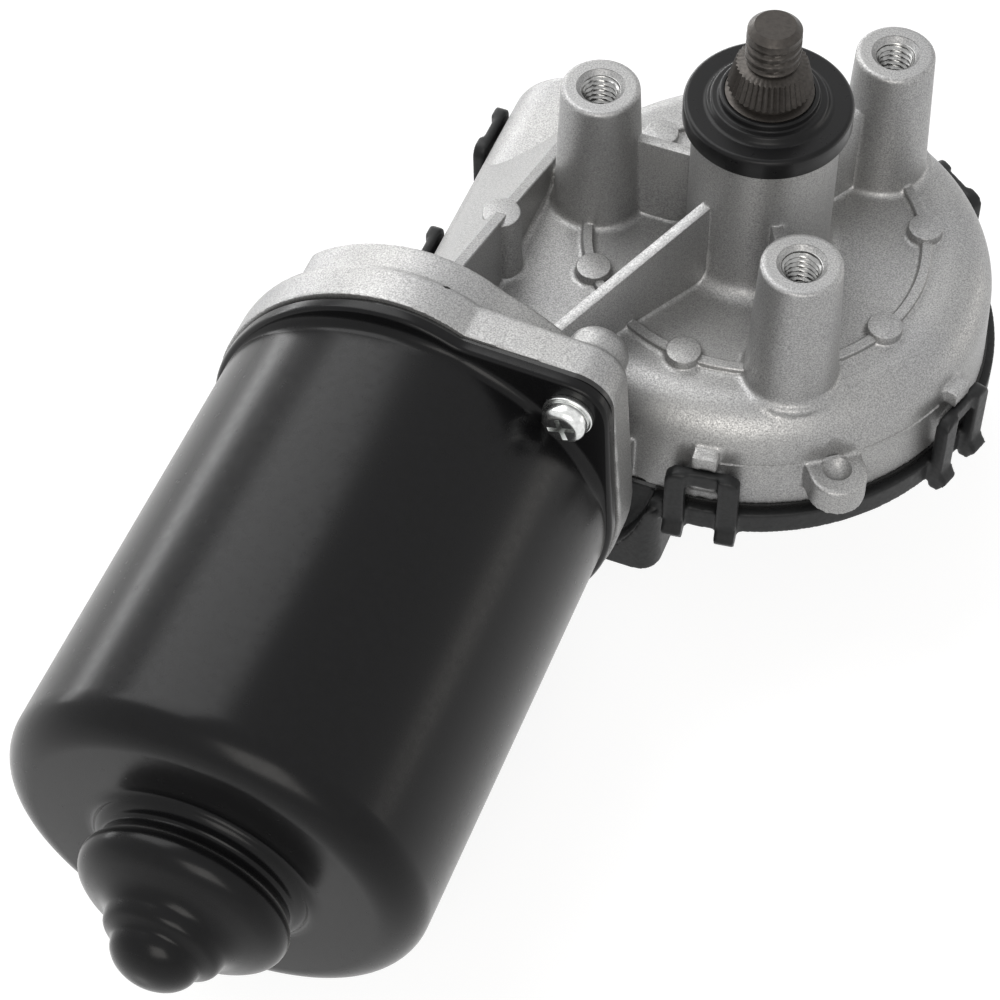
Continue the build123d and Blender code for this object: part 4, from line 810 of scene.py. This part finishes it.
# ---------------- turned, drawn and threaded pieces
def corner_cut(points, passes):
    """A smooth open line: each pass puts two points, a quarter in from either end, on every stretch."""
    line = np.array(points, float)
    for _ in range(passes):
        near = line[:-1] * 0.75 + line[1:] * 0.25
        far = line[:-1] * 0.25 + line[1:] * 0.75
        line = np.concatenate([line[:1], np.stack([near, far], axis=1).reshape(-1, 2), line[-1:]])
    return line


def can_shell():
    """The drawn can: nose steps, shell, and a flare that runs into the eared plate.

    At each angle the flare's radius is the room that the plate leaves outside the shell, up to FLARE, so
    the bend is wide at the ears and tight between them. The plate's front edge is a quarter circle."""
    angle = np.linspace(0, 2 * math.pi, CAN_TURNS, endpoint=False)
    reach = softened(ear_and_crown_reach(angle, PLATE_R, FLANGE_CROWN_RISE), PLATE_SOFTENING)
    room = reach - CAN_R - PLATE_EDGE - FLARE_ROOM
    wide = softened(np.clip(room, LEAST_FLARE, FLARE), FLARE_SOFTENING)
    flare = np.maximum(np.minimum(room, wide), LEAST_FLARE)
    nose = corner_cut([(CAN_END_Y - above, radius) for above, radius in NOSE_PROFILE], passes=2)
    shoulder = rounded([(CAN_END_Y, END_FACE_R), (CAN_END_Y, CAN_R, CAN_END_ROUND),
                        (PLATE_Y - FLARE - OVERLAP, CAN_R)], steps=14)
    rows = [*nose, *shoulder]
    for bend in np.linspace(0, math.pi / 2, 9):
        rows.append((PLATE_Y - flare * (1 - math.sin(bend)), CAN_R + flare * (1 - math.cos(bend))))
    for bend in np.linspace(0, math.pi / 2, 6):
        rows.append((PLATE_Y + PLATE_EDGE * (1 - math.cos(bend)), reach - PLATE_EDGE * (1 - math.sin(bend))))
    rows += [(CAN_BACK_Y, reach), (CAN_BACK_Y, CAN_BORE_R), (INNER_END_Y, CAN_BORE_R),
             (INNER_END_Y, INNER_RING_R), (INNER_RING_Y, INNER_RING_R), (INNER_RING_Y, INNER_STEP_R),
             (INNER_TIP_Y, INNER_DOME_R), (INNER_TIP_Y, 0)]
    around = np.ones(CAN_TURNS)
    grid = np.stack([np.stack([WORM_X + radius * np.cos(angle), y * around, WORM_Z + radius * np.sin(angle)],
                              axis=-1) for y, radius in rows])
    return grid_piece("motor_can_shell", [grid], sharp_angle=50)


def screw_heads():
    """Two pan-head screws with a cross recess whose wings slope towards the middle."""
    profile = rounded([(HEAD_Y, 0), (HEAD_Y, HEAD_R, HEAD_ROUND), (WASHER_Y, HEAD_R, HEAD_FOOT_ROUND),
                       (WASHER_Y, SCREW_R), (SCREW_END_Y, SCREW_R), (SCREW_END_Y, 0)], steps=8)
    piece = new_object("can_screw_pan_heads", mesh_of("can_screw_pan_heads", at_screws(profile, turns=64)))
    cutters = []
    for place in screw_places():
        for turn in RECESS_TURNS:
            direction = on_circle(1, turn)
            side = np.array([-direction[1], direction[0]]) * RECESS_HALF_WIDTH
            rings = []
            for depth, half in RECESS_SECTIONS:
                corners = [place + direction * a * half + side * b
                           for a, b in ((-1, -1), (1, -1), (1, 1), (-1, 1))]
                rings.append(np.array([(WORM_X + x, HEAD_Y + depth, WORM_Z + z) for x, z in corners]))
            cutters.append([between_rings(*rings)])
    carve(piece, cutters)
    shade(piece.data, 30)
    return piece


def screw_washers():
    """Flat washers with a broken edge."""
    profile = rounded([(PLATE_Y, WASHER_BORE_R), (WASHER_Y, WASHER_BORE_R), (WASHER_Y, WASHER_R, WASHER_EDGE),
                       (PLATE_Y, WASHER_R, WASHER_FOOT_EDGE)], steps=4, closed=True)
    return grid_piece("can_screw_flat_washers", at_screws(profile, turns=64), sharp_angle=30, wrap_rows=True)


def shaft_cap():
    """The moulded cap: rounded rim, slightly dished disc and two rounded lips round the shaft."""
    profile = rounded(CAP_PROFILE, closed=True)
    return grid_piece("shaft_cap_disc", [about_output(profile, turns=160)], sharp_angle=60, wrap_rows=True)


def zigzag(turns):
    """A wave of period 1 that runs from 0 up to 1 and back in straight lines."""
    return 1 - np.abs((turns % 1) * 2 - 1)


def thread_wave(turns, flats):
    """Height of a thread's section, 0 at the root and 1 at the crest: a zigzag clipped flat at both."""
    stretch, drop = flats
    return np.clip(zigzag(turns) * stretch - drop, 0, 1)


def output_shaft():
    """The output shaft: plain journal, waist, serrated taper and threaded stud.

    Serrations: the taper's radius falls by a zigzag of SERRATION_COUNT waves round. Thread: the radius
    falls by a thread wave of height / pitch - turn, which fades out at both ends."""
    turn = np.linspace(0, 1, SERRATION_COUNT * SERRATION_POINTS, endpoint=False)
    grip = SERRATION_DEPTH * zigzag(turn * SERRATION_COUNT)
    rows = [(SHAFT_LOW_Z, 0), *SHAFT_PROFILE]
    for share in np.linspace(0, 1, TAPER_ROWS):
        crest = TAPER_BASE_R + (TAPER_TOP_R - TAPER_BASE_R) * share
        rows.append((TAPER_Z + TAPER_HEIGHT * share, crest - grip))
    rows += GROOVE_PROFILE
    for z in np.arange(STUD_THREAD_LOW_Z, STUD_THREAD_END_Z, STUD_PITCH / STUD_ROWS):
        wave = thread_wave(z / STUD_PITCH - turn, STUD_FLATS)
        fade = min(1.0, (z - STUD_THREAD_LOW_Z) / STUD_FADE_IN + STUD_FADE_SHARE,
                   (STUD_THREAD_END_Z - z) / STUD_FADE_OUT)
        rows.append((z, STUD_R - STUD_THREAD_DEPTH * (1 - wave) * fade))
    rows += [*TIP_PROFILE, (STUD_TOP_Z, 0)]
    return grid_piece("output_shaft_stud", [waved_about_output(rows, turn)], sharp_angle=35)


def boss_threads():
    """The screw thread in each post: a sleeve whose bore swells by a thread wave of height / pitch - turn."""
    turn = np.linspace(0, 1, 64, endpoint=False)
    rows = [(SLEEVE_LOW_Z, SLEEVE_R), (SLEEVE_TOP_Z, SLEEVE_R)]
    for z in np.arange(THREAD_TOP_Z, SLEEVE_LOW_Z, -THREAD_PITCH / THREAD_ROWS):
        wave = thread_wave(z / THREAD_PITCH - turn, BORE_FLATS)
        ease = min(1.0, (THREAD_TOP_Z - z) / THREAD_LEAD_IN)
        rows.append((z, THREAD_ROOT_R - (THREAD_MAJOR_R - THREAD_MINOR_R) * (1 - wave) * ease))
    grid = waved_about_output(rows, turn)
    grids = [moved(grid, boss, (BOSS_CIRCLE_R, 0)) for boss in BOSS_ANGLES]
    return grid_piece("boss_thread_turns", grids, sharp_angle=35, wrap_rows=True)


def parting_flash():
    """The thin seam that the mould halves leave round the bowl: a ridge whose height wavers along it."""
    angle = np.radians(np.linspace(*SEAM_ANGLES, SEAM_POINTS))
    first, second = SEAM_WAVES
    waver = 0.5 + 0.25 * np.sin(angle * first) + 0.25 * np.sin(angle * second + SEAM_WAVE_SHIFT)
    height = SEAM_LEAST_HEIGHT + SEAM_MORE_HEIGHT * waver
    wall_r = BOWL_R - (BOWL_R - BOWL_TOP_R) * (PARTING_Z - RIM_Z) / (FACE_Z - RIM_Z)
    section = ((-SEAM_DEPTH, -SEAM_HALF_WIDTH), (height, 0.0), (-SEAM_DEPTH, SEAM_HALF_WIDTH))
    grid = np.stack([np.column_stack([(wall_r + out) * np.cos(angle), (wall_r + out) * np.sin(angle),
                                      np.full(len(angle), PARTING_Z + up)]) for out, up in section])
    return grid_piece("casting_parting_seam", [grid], sharp_angle=60, wrap_rows=True, wrap_columns=False)


def clip_corner_grids(frame_x, frame_y, angle):
    """What a clip's two rounded top corners lack: a square corner less a quarter circle, through the leg."""
    top = FACE_Z - CLIP_TOP_BELOW
    sweep = np.linspace(0, math.pi / 2, 9)
    grids = []
    for side in (-1, 1):
        edge = side * CLIP_WIDTH / 2
        arc = [(edge - side * CLIP_CORNER * (1 - math.sin(a)), top - CLIP_CORNER * (1 - math.cos(a)))
               for a in sweep]
        past = edge + side * OVERLAP
        outline = [*arc, (past, top - CLIP_CORNER), (past, top + OVERLAP), (arc[0][0], top + OVERLAP)]
        rings = [np.array([(x, y, z) for y, z in outline], float) for x in CLIP_CUT_REACH]
        grids.append(on_wall(between_rings(*rings), frame_x, frame_y, angle))
    return grids


def moulded_cover():
    """The cover with the softened edges of a moulding: a merged copy of the solid, fused and smoothed."""
    mesh = frame["nodes"]["gear_cover"].data.copy()
    tidy = bmesh.new()
    tidy.from_mesh(mesh)
    bmesh.ops.remove_doubles(tidy, verts=tidy.verts, dist=SOLID_MERGE)
    tidy.to_mesh(mesh)
    tidy.free()
    piece = new_object("gear_cover_moulding", mesh)
    for clip in clip_frames():
        carve(piece, [[grid] for grid in clip_corner_grids(*clip)])
    soften_skin(piece, COVER_VOXEL, COVER_TRIANGLES)
    shade(piece.data, 50)
    return piece


# ---------------- materials
BUMP_STRENGTH = 0.5


def filled(node, **values):
    """Sets a shader node's own values; an underscore stands for the space in a socket's name."""
    for socket, value in values.items():
        node.inputs[socket.replace("_", " ")].default_value = value
    return node


def new_material(name, color, roughness, metallic=0.0, **values):
    """A material with values on its shader's sockets; returns the material, its node tree and the shader."""
    material = bpy.data.materials.new(name)
    material.use_nodes = True
    tree = material.node_tree
    shader = filled(tree.nodes["Principled BSDF"], Base_Color=(*color, 1), Roughness=roughness,
                    Metallic=metallic, **values)
    return material, tree, shader


def add_noise(tree, scale, detail=2.0, roughness=0.5, stretch=(1, 1, 1)):
    """Noise on Object coordinates; scale is in features per metre."""
    place = tree.nodes.new("ShaderNodeTexCoord")
    mapping = filled(tree.nodes.new("ShaderNodeMapping"), Scale=stretch)
    noise = filled(tree.nodes.new("ShaderNodeTexNoise"), Scale=scale, Detail=detail, Roughness=roughness)
    tree.links.new(place.outputs["Object"], mapping.inputs["Vector"])
    tree.links.new(mapping.outputs["Vector"], noise.inputs["Vector"])
    return noise.outputs["Fac"]


def ramp(tree, value, stops):
    """A colour ramp through (position, colour) stops."""
    node = tree.nodes.new("ShaderNodeValToRGB")
    elements = node.color_ramp.elements
    while len(elements) < len(stops):
        elements.new(0.5)
    for element, (position, color) in zip(elements, stops):
        element.position = position
        element.color = (*color, 1)
    tree.links.new(value, node.inputs["Fac"])
    return node.outputs["Color"]


def grey(value):
    """A neutral colour."""
    return (value, value, value)


def add_bump(tree, shader, height, distance):
    """Bump from a height; distance is in millimetres."""
    bump = filled(tree.nodes.new("ShaderNodeBump"), Strength=BUMP_STRENGTH, Distance=distance * MM)
    tree.links.new(height, bump.inputs["Height"])
    tree.links.new(bump.outputs["Normal"], shader.inputs["Normal"])


def cast_aluminium():
    """Shot-blasted die casting: a fine grain of lighter and darker flecks over slow cloudy patches."""
    material, tree, shader = new_material("cast_aluminium_blasted", (0.45, 0.45, 0.445), 0.5, 0.72)
    grain = add_noise(tree, 4200, 2.0, 0.6)
    clouds = add_noise(tree, 60, 3.0)
    flecks = ramp(tree, grain, [(0.30, grey(0.25)), (0.5, (0.37, 0.37, 0.368)),
                                (0.72, (0.52, 0.52, 0.515))])
    tone = ramp(tree, clouds, [(0.3, (0.90, 0.90, 0.91)), (0.7, (1.0, 0.995, 0.985))])
    mix = tree.nodes.new("ShaderNodeMix")
    mix.data_type = "RGBA"
    mix.blend_type = "MULTIPLY"
    filled(mix, Factor=1.0)
    tree.links.new(flecks, mix.inputs["A"])
    tree.links.new(tone, mix.inputs["B"])
    tree.links.new(mix.outputs["Result"], shader.inputs["Base Color"])
    rough = ramp(tree, grain, [(0.3, grey(0.55)), (0.7, grey(0.38))])
    tree.links.new(rough, shader.inputs["Roughness"])
    add_bump(tree, shader, grain, 0.05)
    return material


def grained(name, color, roughness, metallic=0.0, scale=900, depth=0.03, vary=0.25, stretch=(1, 1, 1),
            **more):
    """A finish with a fine grain: one noise varies the colour, the gloss and the relief a little."""
    material, tree, shader = new_material(name, color, roughness, metallic, **more)
    grain = add_noise(tree, scale, 3.0, 0.6, stretch)
    low = tuple(c * (1 - vary) for c in color)
    high = tuple(min(1.0, c * (1 + vary)) for c in color)
    tree.links.new(ramp(tree, grain, [(0.3, low), (0.7, high)]), shader.inputs["Base Color"])
    gloss = ramp(tree, grain, [(0.3, grey(min(1.0, roughness * 1.15))), (0.7, grey(roughness * 0.88))])
    tree.links.new(gloss, shader.inputs["Roughness"])
    add_bump(tree, shader, grain, depth)
    return material


# Tapped threads: real machined grain and gloss, with the grey darkened well below bright machined aluminium
# as painted shade inside the deep bores.
SHADED_TAPPED_BORE = grained("tapped_bore_painted_shade", (0.34, 0.34, 0.335), 0.25, 1.0, scale=1500, depth=0.01, vary=0.2)

FINISHES = {
    "cast_aluminium": cast_aluminium(),
    "black_can_paint": grained("can_paint_black", (0.005, 0.005, 0.0055), 0.24, scale=700, depth=0.003,
                               vary=0.2, IOR=1.27, Sheen_Weight=0.4, Sheen_Roughness=0.3),
    "gasket_rubber": grained("gasket_rubber_black", (0.012, 0.012, 0.012), 0.28, scale=600, depth=0.02),
    "zinc_steel": grained("zinc_plate", (0.72, 0.73, 0.72), 0.22, 1.0, scale=1500, depth=0.01, vary=0.12),
    "ferrite": grained("sintered_ferrite", (0.06, 0.06, 0.065), 0.7, scale=1800, depth=0.05),
    "spring_steel": grained("spring_strip", (0.42, 0.42, 0.43), 0.3, 1.0, stretch=(1, 8, 1)),
    "sintered_bronze": grained("oiled_bronze", (0.50, 0.33, 0.16), 0.45, 1.0, scale=2500, depth=0.04),
    "ground_steel": grained("ground_steel", (0.55, 0.55, 0.56), 0.25, 1.0, stretch=(1, 0.1, 1)),
    "oxide_steel": grained("oxide_steel", (0.055, 0.049, 0.044), 0.38, 0.6, scale=1600, depth=0.02),
    "lamination_steel": grained("lamination_stack", (0.22, 0.22, 0.24), 0.5, 0.8, stretch=(0.2, 4, 0.2)),
    "white_plastic": grained("natural_acetal", (0.78, 0.76, 0.68), 0.4, depth=0.01, vary=0.04),
    "insulator_plastic": grained("green_insulator", (0.05, 0.16, 0.08), 0.5, vary=0.1),
    "copper_wire": grained("enamelled_wire", (0.42, 0.12, 0.04), 0.3, 0.7, stretch=(6, 0.3, 6), scale=400),
    "copper": grained("bare_copper", (0.72, 0.33, 0.19), 0.3, 1.0, vary=0.1),
    "phenolic": grained("phenolic_board", (0.12, 0.05, 0.02), 0.5, vary=0.2),
    "brass_strip": grained("stamped_brass", (0.68, 0.50, 0.22), 0.28, 1.0, vary=0.08),
    "carbon": grained("brush_carbon", (0.03, 0.03, 0.033), 0.6, scale=2500),
    "black_plastic": grained("cover_plastic_black", (0.011, 0.0115, 0.012), 0.45, scale=1400, depth=0.03,
                             IOR=1.35),
    "cap_plastic": grained("cap_plastic_black", (0.008, 0.008, 0.0085), 0.3, scale=700, depth=0.006,
                          Specular_Tint=(*grey(0.35), 1)),
}


def finish_cad_nodes():
    """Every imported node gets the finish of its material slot."""
    for part in frame["record"]["subparts"]:
        node = frame["nodes"][part["node"]]
        node.data.materials.clear()
        node.data.materials.append(FINISHES[part["material_slot"]])


# ---------------- stage, lights and camera
FLOOR_REACH = 3.0
FLOOR_GREY = 0.3
FLOOR_GLOW = 0.85
WORLD_LIGHT = 0.32
WORLD_SEEN = 1.0


def larger(tree, first, second):
    """The larger of two sockets' values."""
    node = tree.nodes.new("ShaderNodeMath")
    node.operation = "MAXIMUM"
    tree.links.new(first, node.inputs[0])
    tree.links.new(second, node.inputs[1])
    return node.outputs["Value"]


def make_stage():
    """A pale floor under the object, white to the camera and in reflections."""
    low_z = cad_low[2]
    far = FLOOR_REACH
    mesh = bpy.data.meshes.new("floor")
    mesh.from_pydata([(-far, -far, low_z), (far, -far, low_z), (far, far, low_z), (-far, far, low_z)], [],
                     [(0, 1, 2, 3)])
    floor = new_object("floor", mesh)
    material = bpy.data.materials.new("floor_pale")
    material.use_nodes = True
    tree = material.node_tree
    tree.nodes.clear()
    matt = filled(tree.nodes.new("ShaderNodeBsdfDiffuse"), Color=(*grey(FLOOR_GREY), 1))
    glow = filled(tree.nodes.new("ShaderNodeEmission"), Color=(1, 1, 1, 1))
    path = tree.nodes.new("ShaderNodeLightPath")
    lift = tree.nodes.new("ShaderNodeMath")
    lift.operation = "MULTIPLY"
    lift.inputs[1].default_value = FLOOR_GLOW
    both = tree.nodes.new("ShaderNodeAddShader")
    out = tree.nodes.new("ShaderNodeOutputMaterial")
    tree.links.new(larger(tree, path.outputs["Is Camera Ray"], path.outputs["Is Glossy Ray"]), lift.inputs[0])
    tree.links.new(lift.outputs["Value"], glow.inputs["Strength"])
    tree.links.new(matt.outputs["BSDF"], both.inputs[0])
    tree.links.new(glow.outputs["Emission"], both.inputs[1])
    tree.links.new(both.outputs["Shader"], out.inputs["Surface"])
    floor.data.materials.append(material)


def make_world():
    """Soft grey-white light all round; the camera and reflections see it white."""
    world = bpy.data.worlds.new("studio")
    bpy.context.scene.world = world
    world.use_nodes = True
    tree = world.node_tree
    background = filled(tree.nodes["Background"], Color=(1, 1, 1, 1))
    path = tree.nodes.new("ShaderNodeLightPath")
    strength = filled(tree.nodes.new("ShaderNodeMapRange"), To_Min=WORLD_LIGHT, To_Max=WORLD_SEEN)
    seen = larger(tree, path.outputs["Is Camera Ray"], path.outputs["Is Transmission Ray"])
    seen = larger(tree, seen, path.outputs["Is Glossy Ray"])
    tree.links.new(seen, strength.inputs["Value"])
    tree.links.new(strength.outputs["Result"], background.inputs["Strength"])


def make_light(name, place, aim, width, height, power, color=(1, 1, 1)):
    """A soft rectangular lamp at a place, facing a point."""
    lamp = bpy.data.lights.new(name, "AREA")
    lamp.shape = "RECTANGLE"
    lamp.size = width
    lamp.size_y = height
    lamp.energy = power
    lamp.color = color
    light = new_object(name, lamp)
    light.location = place
    light.rotation_euler = (Vector(aim) - Vector(place)).to_track_quat("-Z", "Y").to_euler()


CAMERA_AZIMUTH = 22.898
CAMERA_ELEVATION = 53.578
CAMERA_ROLL = -1.302
CAMERA_DISTANCE = 434.95
CAMERA_FOCUS_PX = 2822.94
CAMERA_TARGET_PX = (756.40, 240.53)
IMAGE_PX = 1000
SENSOR_MM = 36.0


def make_camera():
    """The camera sees the middle of the gearbox face at a given pixel, from a given angle and distance."""
    azimuth, elevation, roll = map(math.radians, (CAMERA_AZIMUTH, CAMERA_ELEVATION, CAMERA_ROLL))
    back = Vector((math.sin(azimuth) * math.cos(elevation), -math.cos(azimuth) * math.cos(elevation),
                   math.sin(elevation)))
    right = Vector((math.cos(azimuth), math.sin(azimuth), 0))
    up = back.cross(right)
    rolled_right = right * math.cos(roll) + up * math.sin(roll)
    rolled_up = up * math.cos(roll) - right * math.sin(roll)
    across, down = [(pixel - IMAGE_PX / 2) * CAMERA_DISTANCE / CAMERA_FOCUS_PX for pixel in CAMERA_TARGET_PX]
    target = Vector((0, 0, FACE_Z))
    place = target - rolled_right * across + rolled_up * down + back * CAMERA_DISTANCE
    lens = bpy.data.cameras.new("camera")
    lens.sensor_width = SENSOR_MM
    lens.lens = CAMERA_FOCUS_PX * SENSOR_MM / IMAGE_PX
    lens.clip_start = 0.01
    camera = new_object("camera", lens)
    camera.matrix_world = Matrix((*zip(rolled_right, rolled_up, back, [value * MM for value in place]),
                                  (0, 0, 0, 1)))
    bpy.context.scene.camera = camera


# ---------------- the scene
MOTOR_MIDDLE = (-0.04, -0.08, -0.035)
bpy.context.scene.view_settings.view_transform = "Standard"
make_camera()
make_stage()
make_world()
make_light("key", (-0.55, 0.25, 0.75), (-0.02, -0.04, -0.03), 0.8, 0.8, 6.4)
make_light("left_panel", (-0.72, 0.45, -0.05), MOTOR_MIDDLE, 1.2, 0.22, 5.2)
make_light("right_panel", (0.60, 0.40, -0.02), MOTOR_MIDDLE, 0.5, 0.2, 0.5, (1.0, 0.96, 0.9))
make_light("fill", (0.2, -0.74, 0.5), (-0.02, -0.06, -0.03), 0.5, 0.5, 2.8, (1.0, 0.97, 0.93))
finish_cad_nodes()

casting = new_object("gear_housing_casting", mesh_of("gear_housing_casting", casting_shells()))
soften_skin(casting, CASTING_VOXEL, CASTING_TRIANGLES)
carve(casting, casting_cutters())
shade(casting.data)
place_piece(casting, "cast_aluminium", "gear_housing")
ribs_and_pads = grid_piece("casting_ribs_and_pads", raised_grids(), sharp_angle=30)
place_piece(ribs_and_pads, "cast_aluminium")
place_piece(boss_threads(), "cast_aluminium", material=SHADED_TAPPED_BORE)
place_piece(parting_flash(), "cast_aluminium")
place_piece(can_shell(), "black_can_paint", "motor_can")
place_piece(screw_heads(), "zinc_steel", "can_screws")
place_piece(screw_washers(), "zinc_steel", "can_screw_washers")
place_piece(shaft_cap(), "cap_plastic", "shaft_cap")
place_piece(moulded_cover(), "black_plastic", "gear_cover")
place_piece(output_shaft(), "oxide_steel", "output_shaft", body=OUTPUT)
